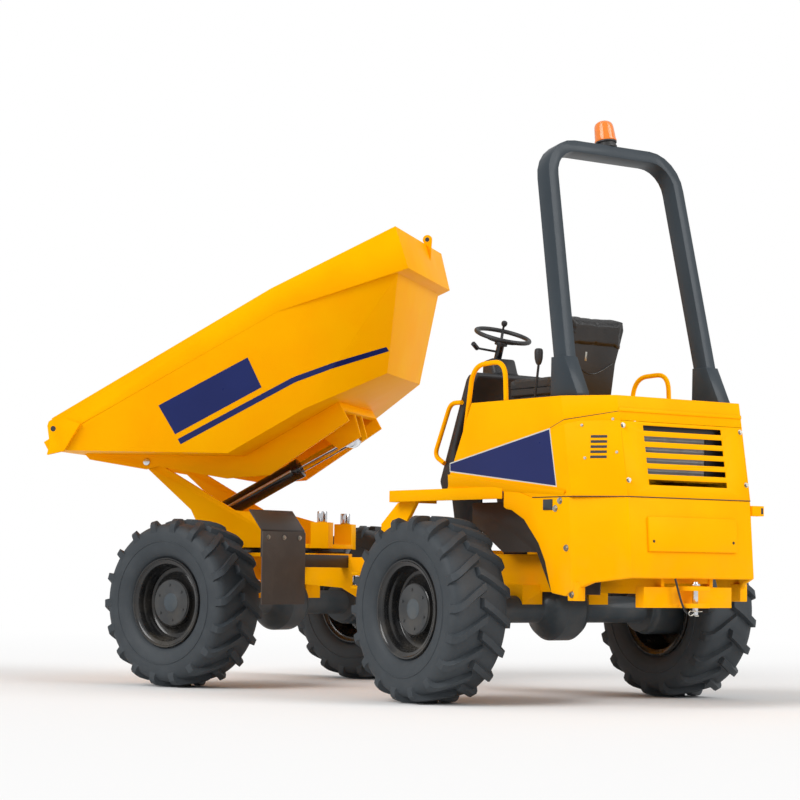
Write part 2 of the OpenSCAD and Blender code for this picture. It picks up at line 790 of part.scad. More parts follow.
function band_stations(t) = [
  [[300 + t * 20, crease_y - t, 345], [300 + t * 20, skip_y - t, rim_h + t]],
  [[-1357, crease_y - t, 320], [-1392, skip_y - t, rim_h + t]],
  [[-2187 + t, 600 - t, 196 + t], [-2250 + t, 656 - t, rim_h + t]]
];

module skip_shell() {
  color(yellow) in_skip() difference() {
    union() {
      loft([for (s = tub_stations(0)) mirrored_ring(s)]);
      loft([for (s = band_stations(0)) mirrored_ring(s)]);
      both_sides([[150, 340], [250, rim_h - 4], [330, rim_h - 4], [352, 440], [392, 330], [443, 275], [400, 262], [330, 240]],
        skip_y - 40, skip_y - 10);
    }
    loft([for (s = tub_stations(plate)) mirrored_ring(s)]);
    loft([for (s = band_stations(plate)) mirrored_ring(s)]);
  }
}

rail_in = 408;
rail_out = 436;
ram_eye = [-1205, -475];
under = seat_gap;

module skip_underframe() {
  color(yellow) in_skip() difference() {
    union() {
      both_sides([[360, nose_z(360) - under], [kink_x, -floor_h - under], [-1340, -floor_h - under], [-1340, -440], [-700, -490],
        [-430, -365], [-50, -60], [30, -40], [345, nose_z(345) - 45]], rail_in, rail_out);
      for (side = [-1, 1])
        cross_bar(0, 0, side > 0 ? rail_in : -rail_out, side > 0 ? rail_out : -rail_in, boss_r);
      both_sides([[-1340, -floor_h - under], [-1020, -floor_h - under], [-1120, -510], [-1290, -510]], 72, 92);
      block([-1340, -rail_out, -floor_h - 60], [-1310, rail_out, -floor_h - under]);
    }
    cross_bar(0, 0, -500, 500, hinge_r + play);
  }
}

module hinge_pins() {
  color(chrome) in_skip() for (side = [-1, 1])
    cross_bar(0, 0, side > 0 ? arm_in - 10 : -rail_out - 8, side > 0 ? rail_out + 8 : -arm_in + 10, hinge_r);
}

// Rams: barrel from its base eye along the line to the rod's eye

function turned_down(p, a) = [p[0] * cos(a) + p[1] * sin(a), p[1] * cos(a) - p[0] * sin(a)];
eye_rest = [hinge_x, hinge_z] + turned_down(ram_eye, tip);
ram_run = eye_rest - ram_base;
ram_angle = atan2(ram_run[1], ram_run[0]);

// Barrel with its base eye at the origin, along +X, eye pin across Y
module barrel(length, r, rod_r, eye_r, eye_w, neck) {
  difference() {
    union() {
      translate([neck, 0, 0]) rotate([0, 90, 0]) cylinder(h = length - neck, r = r);
      rotate([0, 90, 0]) cylinder(h = neck + 1, r = eye_w * 0.9);
      cross_bar(0, 0, -eye_w, eye_w, eye_r);
    }
    translate([neck + 15, 0, 0]) rotate([0, 90, 0]) cylinder(h = length, r = rod_r + play);
  }
}

// Rod with its eye at the given distance, reaching back inside the barrel
module rod(eye_x, length, r, eye_r, eye_w) {
  translate([eye_x - length, 0, 0]) rotate([0, 90, 0]) cylinder(h = length - eye_r * 0.5, r = r);
  cross_bar(eye_x, 0, -eye_w, eye_w, eye_r);
}

module on_tip_ram() {
  in_swivel() translate([ram_base[0], 0, ram_base[1]]) rotate([0, -ram_angle, 0]) children();
}

module tip_barrel() {
  color(black) on_tip_ram() {
    barrel(690, tip_barrel_r, tip_rod_r, 60, 64, 40);
    cross_bar(0, 0, -112, 112, hinge_r);
  }
}

module tip_rod() {
  color(chrome) on_tip_ram() rod(norm(ram_run), 800, tip_rod_r, 56, 64);
}

steer_rear = [-450, 330];
steer_front = [400, 300];
steer_z = 690;
function spun(p, a) = [p[0] * cos(a) - p[1] * sin(a), p[0] * sin(a) + p[1] * cos(a)];

// Line of one steering ram, from its rear eye to its front eye
function steer_run(side) = spun([steer_front[0], side * steer_front[1]], steer) - [steer_rear[0], side * steer_rear[1]];

module on_steer_ram(side) {
  run = steer_run(side);
  in_rear() translate([pivot_x + steer_rear[0], side * steer_rear[1], steer_z])
    rotate([0, 0, atan2(run[1], run[0])]) rotate([90, 0, 0]) children();
}

module steer_barrel(side) {
  color(iron) on_steer_ram(side) {
    barrel(470, steer_barrel_r, steer_rod_r, 40, ram_eye_w, ear_r + 20);
    cross_bar(0, 0, -ram_eye_w - 26, ram_eye_w + 26, ram_pin_r);
  }
}

module steer_rod(side) {
  color(chrome) on_steer_ram(side) rod(norm(steer_run(side)), 560, steer_rod_r, 36, ram_eye_w - 2);
}

rear_frame();
rear_axle();
engine_block();
radiator();
hood();
side_panels();
grille_panel();
tail_panel();
tail_cover();
fenders();
floor_plate();
console();
steering_column();
steering_wheel();
control_levers();
seat_base();
seat_cushion();
seat_back();
grab_rails();
rops_frame();
beacon_base();
beacon_lens();
tow_hitch();
tow_pin();
articulation_pin();
front_frame();
front_axle();
slew_ring();
flap_plates();
mud_flaps();
swivel_base();
rest_posts();
skip_shell();
skip_underframe();
hinge_pins();
tip_barrel();
tip_rod();
steer_barrel(1);  // steer_barrel_left
steer_barrel(-1);  // steer_barrel_right
steer_rod(1);  // steer_rod_left
steer_rod(-1);  // steer_rod_right
in_front() translate([front_axle_x, 0, 0]) at_wheel(1) tyre();  // tyre_front_left
in_front() translate([front_axle_x, 0, 0]) at_wheel(-1) tyre();  // tyre_front_right
in_rear() at_wheel(1) tyre();  // tyre_rear_left
in_rear() at_wheel(-1) tyre();  // tyre_rear_right
in_front() translate([front_axle_x, 0, 0]) at_wheel(1) wheel();  // wheel_front_left
in_front() translate([front_axle_x, 0, 0]) at_wheel(-1) wheel();  // wheel_front_right
in_rear() at_wheel(1) wheel();  // wheel_rear_left
in_rear() at_wheel(-1) wheel();  // wheel_rear_right
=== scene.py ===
import json
import math

import bmesh
import bpy
from mathutils import Matrix, Vector
from mathutils.bvhtree import BVHTree


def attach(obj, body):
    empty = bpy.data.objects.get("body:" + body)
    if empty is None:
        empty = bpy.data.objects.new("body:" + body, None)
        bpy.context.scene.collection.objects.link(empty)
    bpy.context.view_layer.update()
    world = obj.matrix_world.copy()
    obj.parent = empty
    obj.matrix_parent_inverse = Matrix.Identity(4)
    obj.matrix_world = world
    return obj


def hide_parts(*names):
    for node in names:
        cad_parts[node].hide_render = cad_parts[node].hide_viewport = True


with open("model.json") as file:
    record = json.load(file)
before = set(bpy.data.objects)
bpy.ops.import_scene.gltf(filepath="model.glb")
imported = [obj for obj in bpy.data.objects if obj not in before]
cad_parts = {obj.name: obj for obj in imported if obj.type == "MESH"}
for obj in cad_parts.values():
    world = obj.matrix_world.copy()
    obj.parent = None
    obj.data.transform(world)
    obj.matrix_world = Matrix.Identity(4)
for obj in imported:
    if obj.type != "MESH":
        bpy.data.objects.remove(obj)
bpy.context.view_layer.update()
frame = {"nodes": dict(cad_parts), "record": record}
nodes = frame["nodes"]
scene = bpy.context.scene
scene.view_settings.view_transform = "Standard"
print("frame loaded:", len(nodes), "solids")


def turned(degrees, axis):
    return Matrix.Rotation(math.radians(degrees), 4, axis)


# the machine's own places: x forward from the rear axle, y left, z up, in metres
place = {
    "middle": (1.385, 0.385, 0.0),       # of the outline, from the rear axle
    "pivot": (1.215, 0, 0), "slew": (1.2, 0, 0), "frontAxle": (1.31, 0, 0),
    "hinge": (0.893, 0.0, 1.455),
    "steer": 16.6, "swivel": 23.6, "tip": 29.2,
}
rear = Matrix.Translation(-Vector(place["middle"]))
front = rear @ Matrix.Translation(place["pivot"]) @ turned(place["steer"], "Z")
turn = front @ Matrix.Translation(place["slew"]) @ turned(place["swivel"], "Z")
tub = turn @ Matrix.Translation(place["hinge"]) @ turned(place["tip"], "Y")
upright = Matrix.Rotation(math.pi / 2, 4, "X")
hands = ((1, "Left"), (-1, "Right"))


# shader and geometry trees
class Socket:
    def __init__(self, tree, out):
        self.tree, self.out = tree, out

    def sum(self, operation, a, b):
        return self.tree.add("ShaderNodeMath", {"operation": operation}, {0: a, 1: b})

    def __add__(self, other):
        return self.sum("ADD", self, other)

    def __sub__(self, other):
        return self.sum("SUBTRACT", self, other)

    def __mul__(self, other):
        return self.sum("MULTIPLY", self, other)

    def __truediv__(self, other):
        return self.sum("DIVIDE", self, other)

    def __rsub__(self, other):
        return self.sum("SUBTRACT", other, self)

    def most(self, other):
        return self.sum("MAXIMUM", self, other)

    def near(self, edge, soft):          # 0 below the edge, 1 above it, soft between
        settings = {"interpolation_type": "SMOOTHSTEP", "clamp": True}
        limits = {0: self, 1: edge - soft, 2: edge + soft, 3: 0.0, 4: 1.0}
        return self.tree.add("ShaderNodeMapRange", settings, limits)

    __radd__ = __add__


class Tree:
    def __init__(self, group):
        self.group = group

    def add(self, kind, settings, inputs, out=0):
        made = self.group.nodes.new(kind)
        for name, value in settings.items():
            setattr(made, name, value)
        for name, value in inputs.items():
            if isinstance(value, Socket):
                self.group.links.new(value.out, made.inputs[name])
            else:
                made.inputs[name].default_value = value
        return Socket(self, made.outputs[out])

    def end(self, kind, name, value):
        self.group.links.new(value.out, self.group.nodes.new(kind).inputs[name])


def tone(r, g, b):                       # a screen colour out of 255, as the shader wants it
    def flat(c):
        c /= 255
        return c / 12.92 if c < 0.04045 else ((c + 0.055) / 1.055) ** 2.4
    return (flat(r), flat(g), flat(b), 1.0)


def newMaterial(name):
    made = bpy.data.materials.new(name)
    made.use_nodes = True
    made.node_tree.nodes.clear()
    return made, Tree(made.node_tree)


def ownSpace(tree):
    return tree.add("ShaderNodeTexCoord", {}, {}, "Object")


def pattern(tree, scale, detail, rough=0.55):
    inputs = {"Vector": ownSpace(tree), "Scale": scale, "Detail": detail, "Roughness": rough}
    return tree.add("ShaderNodeTexNoise", {}, inputs)


def wave(tree, way, scale):
    return tree.add("ShaderNodeTexWave", {"bands_direction": way}, {"Vector": ownSpace(tree), "Scale": scale})


def height(tree):
    return tree.add("ShaderNodeSeparateXYZ", {}, {0: ownSpace(tree)}, "Z")


def mixed(tree, share, a, b):
    return tree.add("ShaderNodeMix", {"data_type": "RGBA"}, {"Factor": share, 6: a, 7: b}, 2)


def bumped(tree, depth, strength, distance):
    return tree.add("ShaderNodeBump", {}, {"Height": depth, "Strength": strength, "Distance": distance})


def shaded(made, tree, sockets):
    tree.end("ShaderNodeOutputMaterial", "Surface", tree.add("ShaderNodeBsdfPrincipled", {}, sockets))
    return made


# noise as scale, detail and roughness; an edge as its place and softness
paintLook = {
    "blotch": (2.3, 4.0), "fine": (210.0, 2.0), "film": (9.0, 5.0), "wear": (0.52, 0.2),
    "dustHeight": (0.55, 0.5), "dustFilm": (0.55, 0.22), "dust": 0.16, "dustTone": (150, 138, 118), "dustDull": 0.5,
    "spread": 0.12, "shine": 0.25, "coatRough": 0.12, "peelDepth": 0.0006,
}
finishes = {                             # main and worn colour, gloss, grain, clear coat and sheen
    "yellowPaint": {"main": (255, 178, 0), "worn": (255, 170, 0), "rough": 0.4, "peel": 0.05, "coat": 0.0,
                    "shine": 0.02},
    "slatePaint": {"main": (40, 49, 56), "worn": (46, 55, 62), "rough": 0.4, "peel": 0.08, "coat": 0.05},
    "blackGloss": {"main": (20, 21, 23), "worn": (30, 31, 33), "rough": 0.22, "peel": 0.04, "coat": 0.4},
    "axleGrey": {"main": (58, 66, 72), "worn": (70, 78, 84), "rough": 0.45, "peel": 0.16, "coat": 0.1},
    "engineIron": {"main": (48, 50, 52), "worn": (60, 61, 62), "rough": 0.55, "peel": 0.25, "coat": 0.0},
    "navyFilm": {"main": (13, 27, 84), "worn": (16, 31, 90), "rough": 0.3, "peel": 0.02, "coat": 0.0},
    "paleLine": {"main": (205, 205, 196), "worn": (196, 196, 188), "rough": 0.35, "peel": 0.02, "coat": 0.1},
    "hubGrey": {"main": (52, 54, 56), "worn": (60, 62, 64), "rough": 0.42, "peel": 0.06, "coat": 0.1},
    # brownPlate: a dark brown, which on the arch liners stands for painted shade
    "brownPlate": {"main": (52, 45, 41), "worn": (64, 56, 51), "rough": 0.42, "peel": 0.1, "coat": 0.1},
}


def paint(name):
    look = dict(paintLook, **finishes[name])
    made, tree = newMaterial(name)
    blotch, fine, film = [pattern(tree, *look[key]) for key in ("blotch", "fine", "film")]
    low = 1 - height(tree).near(*look["dustHeight"])
    dusty = (low * film.near(*look["dustFilm"])) * look["dust"]
    shade = mixed(tree, blotch.near(*look["wear"]), tone(*look["main"]), tone(*look["worn"]))
    shade = mixed(tree, dusty, shade, tone(*look["dustTone"]))
    gloss = look["rough"] + (film - 0.5) * look["spread"] + dusty * look["dustDull"]
    return shaded(made, tree, {
        "Base Color": shade, "Roughness": gloss, "Coat Weight": look["coat"], "Coat Roughness": look["coatRough"],
        "Specular IOR Level": look["shine"], "Normal": bumped(tree, fine, look["peel"], look["peelDepth"])})


plastic = {"main": (27, 28, 30), "worn": (37, 37, 38), "pits": (420.0, 2.0, 0.6), "cloud": (5.0, 4.0),
           "wear": (0.55, 0.2), "rough": 0.5, "spread": 0.2, "grain": (0.3, 0.001)}


def moulded(name):
    made, tree = newMaterial(name)
    pits, cloud = pattern(tree, *plastic["pits"]), pattern(tree, *plastic["cloud"])
    shade = mixed(tree, cloud.near(*plastic["wear"]), tone(*plastic["main"]), tone(*plastic["worn"]))
    return shaded(made, tree, {
        "Base Color": shade, "Roughness": plastic["rough"] + (cloud - 0.5) * plastic["spread"],
        "Normal": bumped(tree, pits, *plastic["grain"])})


rubber = {"cloud": (7.0, 6.0, 0.65), "fine": (320.0, 3.0), "dustHeight": (0.3, 0.35), "dustCloud": (0.56, 0.18),
          "dust": 0.3, "lowDust": 0.12, "rough": 0.62, "spread": 0.25, "shine": 0.4, "lumps": 0.6,
          "grain": (0.22, 0.0012)}


def rubberLook(name, main, dust):
    made, tree = newMaterial(name)
    cloud, fine = pattern(tree, *rubber["cloud"]), pattern(tree, *rubber["fine"])
    low = 1 - height(tree).near(*rubber["dustHeight"])
    share = cloud.near(*rubber["dustCloud"]) * rubber["dust"] + low * rubber["lowDust"]
    return shaded(made, tree, {
        "Base Color": mixed(tree, share, tone(*main), tone(*dust)),
        "Roughness": rubber["rough"] + (cloud - 0.5) * rubber["spread"], "Specular IOR Level": rubber["shine"],
        "Normal": bumped(tree, fine + cloud * rubber["lumps"], *rubber["grain"])})


vinyl = {"main": (22, 22, 23), "worn": (33, 32, 32), "cells": 520.0, "cellEdge": (0.05, 0.05), "cloud": (14.0, 4.0),
         "wear": (0.55, 0.2), "rough": 0.42, "spread": 0.2, "shine": 0.45, "grain": (0.35, 0.0006)}


def grainedVinyl(name):
    made, tree = newMaterial(name)
    inputs = {"Vector": ownSpace(tree), "Scale": vinyl["cells"]}
    cells = tree.add("ShaderNodeTexVoronoi", {"feature": "DISTANCE_TO_EDGE"}, inputs)
    cloud = pattern(tree, *vinyl["cloud"])
    return shaded(made, tree, {
        "Base Color": mixed(tree, cloud.near(*vinyl["wear"]), tone(*vinyl["main"]), tone(*vinyl["worn"])),
        "Roughness": vinyl["rough"] + (cloud - 0.5) * vinyl["spread"], "Specular IOR Level": vinyl["shine"],
        "Normal": bumped(tree, cells.near(*vinyl["cellEdge"]), *vinyl["grain"])})


metal = {"cloud": (30.0, 4.0), "fine": (600.0, 2.0), "wear": (0.55, 0.25), "dull": 0.9, "spread": 0.12, "depth": 0.0004}


def brightMetal(name, main, rough, grain):
    made, tree = newMaterial(name)
    cloud, fine = pattern(tree, *metal["cloud"]), pattern(tree, *metal["fine"])
    worn = tone(*[c * metal["dull"] for c in main])
    return shaded(made, tree, {
        "Base Color": mixed(tree, cloud.near(*metal["wear"]), tone(*main), worn), "Metallic": 1.0,
        "Roughness": rough + (cloud - 0.5) * metal["spread"], "Normal": bumped(tree, fine, grain, metal["depth"])})


amber = {"main": (255, 128, 10), "pale": (255, 168, 60), "rings": 38.0, "share": 0.35, "rough": 0.12, "clear": 0.2,
         "ior": 1.49, "coat": 0.5, "grain": (0.35, 0.002)}


def amberLens(name):
    made, tree = newMaterial(name)
    rings = wave(tree, "Z", amber["rings"])
    return shaded(made, tree, {
        "Base Color": mixed(tree, rings * amber["share"], tone(*amber["main"]), tone(*amber["pale"])),
        "Roughness": amber["rough"], "Transmission Weight": amber["clear"], "IOR": amber["ior"],
        "Coat Weight": amber["coat"], "Normal": bumped(tree, rings, *amber["grain"])})


core = {"main": (150, 152, 152), "tube": (190, 192, 192), "dust": (120, 116, 108), "fins": 55.0, "tubes": 16.0,
        "tubeEdge": (0.8, 0.15), "cloud": (11.0, 5.0), "dustEdge": (0.6, 0.2), "dustShare": 0.4, "metal": 0.7,
        "rough": 0.45, "spread": 0.2, "tubeBump": 0.7, "grain": (0.6, 0.003)}


def finnedCore(name):
    made, tree = newMaterial(name)
    fins, tubes = wave(tree, "Y", core["fins"]), wave(tree, "Z", core["tubes"])
    cloud = pattern(tree, *core["cloud"])
    shade = mixed(tree, tubes.near(*core["tubeEdge"]), tone(*core["main"]), tone(*core["tube"]))
    shade = mixed(tree, cloud.near(*core["dustEdge"]) * core["dustShare"], shade, tone(*core["dust"]))
    return shaded(made, tree, {
        "Base Color": shade, "Metallic": core["metal"], "Roughness": core["rough"] + (cloud - 0.5) * core["spread"],
        "Normal": bumped(tree, fins + tubes * core["tubeBump"], *core["grain"])})


mats = {name: paint(name) for name in finishes}
mats["tyreRubber"] = rubberLook("tyreRubber", (45, 51, 56), (72, 77, 81))
mats["flapRubber"] = rubberLook("flapRubber", (70, 62, 57), (96, 88, 80))
mats["blackPlastic"] = moulded("blackPlastic")
mats["seatVinyl"] = grainedVinyl("seatVinyl")
mats["chromed"] = brightMetal("chromed", (214, 216, 220), 0.14, 0.03)
mats["zincBolt"] = brightMetal("zincBolt", (178, 176, 168), 0.32, 0.1)
mats["amberLens"] = amberLens("amberLens")
mats["finnedCore"] = finnedCore("finnedCore")
print("finishes made:", len(mats))

slotOf = {                               # the first finish of a slot is the solids' own
    "yellowPaint": "yellow_paint", "slatePaint": "slate_paint", "blackGloss": "black_paint", "axleGrey": "axle_grey",
    "tyreRubber": "tyre_rubber", "flapRubber": "flap_rubber", "chromed": "chrome", "blackPlastic": "black_plastic",
    "seatVinyl": "seat_vinyl", "amberLens": "amber_lens", "finnedCore": "radiator_core", "engineIron": "engine_iron",
    "navyFilm": "yellow_paint", "paleLine": "yellow_paint", "brownPlate": "black_paint", "zincBolt": "chrome",
    "hubGrey": "black_paint",
}
finishOf = {slot: finish for finish, slot in reversed(list(slotOf.items()))}
bodyOf = {node: body for body, group in frame["record"]["behaviour"]["bodies"].items() for node in group}
nodeFinish = {part["node"]: finishOf[part["material_slot"]] for part in frame["record"]["subparts"]}
nodeFinish.update({"flap_plates": "brownPlate", "tow_hitch": "yellowPaint"})
for name, solid in nodes.items():
    solid.data.materials.clear()
    solid.data.materials.append(mats[nodeFinish[name]])


# making pieces
def asPiece(name, mesh, finish, body, stands=()):
    made = bpy.data.objects.new(name, mesh)
    scene.collection.objects.link(made)
    mesh.materials.clear()
    mesh.materials.append(mats[finish])
    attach(made, body)
    if stands:
        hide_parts(*stands)
    return made


def smoothed(mesh, angle):
    mesh.shade_smooth()
    mesh.set_sharp_from_angle(angle=math.radians(angle))


def plainMesh(made):                     # the modifiers' result as a mesh of its own
    graph = bpy.context.evaluated_depsgraph_get()
    mesh = bpy.data.meshes.new_from_object(made.evaluated_get(graph), depsgraph=graph)
    mesh.name = made.name
    old = made.data
    made.modifiers.clear()
    made.data = mesh
    bpy.data.meshes.remove(old)
    return mesh


edges = {                                # a rolled edge on each sheet or casting, in metres, 0 for smoothing alone
    "hood": 0.006, "side_panels": 0.003, "grille_panel": 0.002, "tail_panel": 0.012, "tail_cover": 0.002,
    "fenders": 0.003, "floor_plate": 0.002, "console": 0.02, "rear_frame": 0.004, "front_frame": 0.004,
    "swivel_base": 0.006, "skip_underframe": 0.004, "rops_frame": 0.012, "tow_hitch": 0.003,
    "flap_plates": 0.002, "mud_flaps": 0.002, "engine_block": 0.02, "skip_shell": 0.003,
    "tow_pin": 0.002, "hinge_pins": 0.003, "tip_barrel": 0.004, "tip_rod": 0.002,
    "steer_barrel_left": 0.003, "steer_barrel_right": 0.003, "steer_rod_left": 0.002, "steer_rod_right": 0.002,
    "rear_axle": 0.004, "front_axle": 0.004, "slew_ring": 0.003, "articulation_pin": 0.003, "steering_column": 0,
}
rolling = {"weld": 0.00002, "flat": 0.4, "from": 28, "segments": 2, "smooth": 40}


def rounded(made, width):
    roll = made.modifiers.new("roll", "BEVEL")
    roll.width, roll.segments = width, rolling["segments"]
    roll.limit_method, roll.angle_limit = "ANGLE", math.radians(rolling["from"])
    roll.miter_outer = "MITER_ARC"
    plainMesh(made)


def rolledEdges(name, width):
    form = bmesh.new()
    form.from_mesh(nodes[name].data)
    bmesh.ops.remove_doubles(form, verts=form.verts, dist=rolling["weld"])
    flat = math.radians(rolling["flat"])
    bmesh.ops.dissolve_limit(form, angle_limit=flat, verts=form.verts, edges=form.edges)
    mesh = bpy.data.meshes.new(name)
    form.to_mesh(mesh)
    form.free()
    first, *rest = name.split("_")
    title = first + "".join(word.capitalize() for word in rest) + "Skin"
    made = asPiece(title, mesh, nodeFinish[name], bodyOf[name])
    if width:
        rounded(made, width)
    smoothed(made.data, rolling["smooth"])
    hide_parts(name)


for name, width in edges.items():
    rolledEdges(name, width)
print("edges rolled:", len(edges))


facets = {"seam": 8, "wire": 10, "pipe": 12, "knob": 28, "lever": 32, "collar": 40, "beacon": 64}
bendSteps = {"short": 4, "pipe": 5, "long": 8}
formWeld = 0.00001                       # joins points that lie on one another


def circle(r, sides):
    return [Vector((r * math.cos(a), r * math.sin(a), 0)) for a in [2 * math.pi * k / sides for k in range(sides)]]


class Form:                              # gathers shapes for one piece, in a frame of its own
    def __init__(self, at):
        self.at, self.mesh = at, bmesh.new()

    def skin(self, points, faces):
        made = [self.mesh.verts.new(p) for p in points]
        for face in faces:
            self.mesh.faces.new([made[i] for i in face])
        return self

    def prism(self, low, high):          # two rings of equal length, closed at both ends
        n = len(low)
        walls = [(i, (i + 1) % n, n + (i + 1) % n, n + i) for i in range(n)]
        return self.skin(list(low) + list(high), walls + [tuple(range(n - 1, -1, -1)), tuple(range(n, 2 * n))])

    def across(self, outline, low, high):
        return self.prism([(x, low, z) for x, z in outline], [(x, high, z) for x, z in outline])

    def box(self, low, high):
        (a, b, c), (d, e, f) = low, high
        return self.across([(a, c), (d, c), (d, f), (a, f)], b, e)

    def rod(self, start, end, r, sides=20):
        start, end = Vector(start), Vector(end)
        facing = (end - start).to_track_quat("Z", "Y")
        return self.prism(*[[point + facing @ p for p in circle(r, sides)] for point in (start, end)])

    def tube(self, points, r, sides=14):
        points = [Vector(p) for p in points]
        facing, rings, last = None, [], len(points) - 1
        for k, point in enumerate(points):
            ahead = (points[min(k + 1, last)] - points[max(k - 1, 0)]).normalized()
            if facing is None:
                facing = ahead.to_track_quat("Z", "Y")
            else:
                facing = (facing @ Vector((0, 0, 1))).rotation_difference(ahead) @ facing
            rings += [point + facing @ p for p in circle(r, sides)]
        walls = []
        for k in range(0, last * sides, sides):
            for i in range(sides):
                m = (i + 1) % sides
                walls.append((k + i, k + m, k + sides + m, k + sides + i))
        tip = last * sides
        return self.skin(rings, walls + [tuple(range(sides - 1, -1, -1)), tuple(range(tip, tip + sides))])

    def lathe(self, profile, sides):     # radius and offset, about the Y axis
        rings, faces, n = [], [], len(profile)
        for k in range(sides):
            a, m = 2 * math.pi * k / sides, (k + 1) % sides
            rings += [(r * math.sin(a), y, r * math.cos(a)) for r, y in profile]
            faces += [(k * n + i, k * n + i + 1, m * n + i + 1, m * n + i) for i in range(n - 1)]
        return self.skin(rings, faces)

    def bare(self, name):
        bmesh.ops.remove_doubles(self.mesh, verts=self.mesh.verts, dist=formWeld)
        bmesh.ops.transform(self.mesh, matrix=self.at, verts=self.mesh.verts)
        bmesh.ops.recalc_face_normals(self.mesh, faces=self.mesh.faces)
        mesh = bpy.data.meshes.new(name)
        self.mesh.to_mesh(mesh)
        self.mesh.free()
        return mesh

    def done(self, name, finish, body, stands=(), roll=0.0, angle=35):
        made = asPiece(name, self.bare(name), finish, body, stands)
        if roll:
            rounded(made, roll)
        smoothed(made.data, angle)
        return made


def bend(points, r, steps):              # the same path with its corners rounded
    points = [Vector(p) for p in points]
    path, longest = [points[0]], 0.45    # of the run to the next corner
    for before, corner, after in zip(points, points[1:], points[2:]):
        cut = min(r, (before - corner).length * longest, (after - corner).length * longest)
        a, b = [corner + (end - corner).normalized() * cut for end in (before, after)]
        for t in [k / steps for k in range(steps + 1)]:
            path.append((1 - t) ** 2 * a + 2 * t * (1 - t) * corner + t * t * b)
    return path + [points[-1]]


# trees that repeat a shape
def newTree(name, sizes):
    group = bpy.data.node_groups.new(name, "GeometryNodeTree")
    group.interface.new_socket("Geometry", in_out="INPUT", socket_type="NodeSocketGeometry")
    for label, kind, value in sizes:
        group.interface.new_socket(label, in_out="INPUT", socket_type="NodeSocket" + kind).default_value = value
    group.interface.new_socket("Finish", in_out="INPUT", socket_type="NodeSocketMaterial")
    group.interface.new_socket("Geometry", in_out="OUTPUT", socket_type="NodeSocketGeometry")
    tree = Tree(group)
    entry = group.nodes.new("NodeGroupInput")
    return tree, {out.name: Socket(tree, out) for out in entry.outputs if out.name}


def closeTree(tree, spots, finish):
    whole = tree.add("GeometryNodeRealizeInstances", {}, {0: tree.add("GeometryNodeInstanceOnPoints", {}, spots)})
    tree.end("NodeGroupOutput", 0, tree.add("GeometryNodeSetMaterial", {}, {"Geometry": whole, "Material": finish}))
    return tree.group


boltShape = {"headLift": 0.62, "washer": 1.35, "washerTall": 0.3, "washerLift": 0.1, "washerSides": 20}


def boltTree():
    tree, given = newTree("boltHeads", [("Radius", "Float", 0.01), ("Height", "Float", 0.008), ("Sides", "Int", 6)])
    aim = tree.add("GeometryNodeInputNamedAttribute", {"data_type": "FLOAT_VECTOR"}, {"Name": "aim"})
    facing = tree.add("FunctionNodeAlignRotationToVector", {"axis": "Z"}, {"Vector": aim})
    tall, wide = given["Height"], given["Radius"]
    both = tree.group.nodes.new("GeometryNodeJoinGeometry")
    for sides, r, depth, up in (
            (given["Sides"], wide, tall, tall * boltShape["headLift"]),
            (boltShape["washerSides"], wide * boltShape["washer"], tall * boltShape["washerTall"],
             tall * boltShape["washerLift"])):
        part = tree.add("GeometryNodeMeshCylinder", {}, {"Vertices": sides, "Radius": r, "Depth": depth})
        lift = tree.add("ShaderNodeCombineXYZ", {}, {"Z": up})
        part = tree.add("GeometryNodeTransform", {}, {0: part, "Translation": lift})
        tree.group.links.new(part.out, both.inputs[0])
    spots = {"Points": given["Geometry"], "Instance": Socket(tree, both.outputs[0]), "Rotation": facing}
    return closeTree(tree, spots, given["Finish"])


def ringTree():
    tree, given = newTree("ringOfLugs", [("Count", "Int", 18), ("Start", "Float", 0.0)])
    line = tree.add("GeometryNodeMeshLine", {}, {"Count": given["Count"], "Offset": (0, 0, 0)})
    index = tree.add("GeometryNodeInputIndex", {}, {})
    angle = (index + given["Start"]) * (2 * math.pi) / given["Count"]
    facing = tree.add("ShaderNodeCombineXYZ", {}, {"Y": angle})
    return closeTree(tree, {"Points": line, "Instance": given["Geometry"], "Rotation": facing}, given["Finish"])


def rowTree():
    tree, given = newTree("rowOfSlats", [("Count", "Int", 5), ("Step", "Vector", (0, 0, 0.02))])
    line = tree.add("GeometryNodeMeshLine", {}, {"Count": given["Count"], "Offset": given["Step"]})
    return closeTree(tree, {"Points": line, "Instance": given["Geometry"]}, given["Finish"])


trees = {"bolts": boltTree(), "ring": ringTree(), "row": rowTree()}


def repeat(mesh, tree, inputs, finish):  # runs a tree on a mesh and gives the plain result
    seed = bpy.data.objects.new("seed", mesh)
    scene.collection.objects.link(seed)
    grown = seed.modifiers.new("repeat", "NODES")
    grown.node_group = trees[tree]
    values = dict(inputs, Finish=mats[finish])
    for item in trees[tree].interface.items_tree:
        if item.item_type == "SOCKET" and item.in_out == "INPUT" and item.name in values:
            grown[item.identifier] = values[item.name]
    result = plainMesh(seed)
    bpy.data.objects.remove(seed)
    return result


boltSizes = {                            # radius, height and sides of a head
    "frame": (0.014, 0.011, 6), "panel": (0.011, 0.009, 6), "hub": (0.008, 0.005, 6), "screw": (0.006, 0.004, 12),
}


def bolts(name, spots, body, at, size, finish="zincBolt"):
    mesh = bpy.data.meshes.new(name)
    mesh.from_pydata([at @ Vector(p) for p, _ in spots], [], [])
    aims = mesh.attributes.new("aim", "FLOAT_VECTOR", "POINT")
    for k, (_, aim) in enumerate(spots):
        aims.data[k].vector = at.to_3x3() @ Vector(aim)
    sizes = dict(zip(("Radius", "Height", "Sides"), boltSizes[size]))
    asPiece(name, repeat(mesh, "bolts", sizes, finish), finish, body)


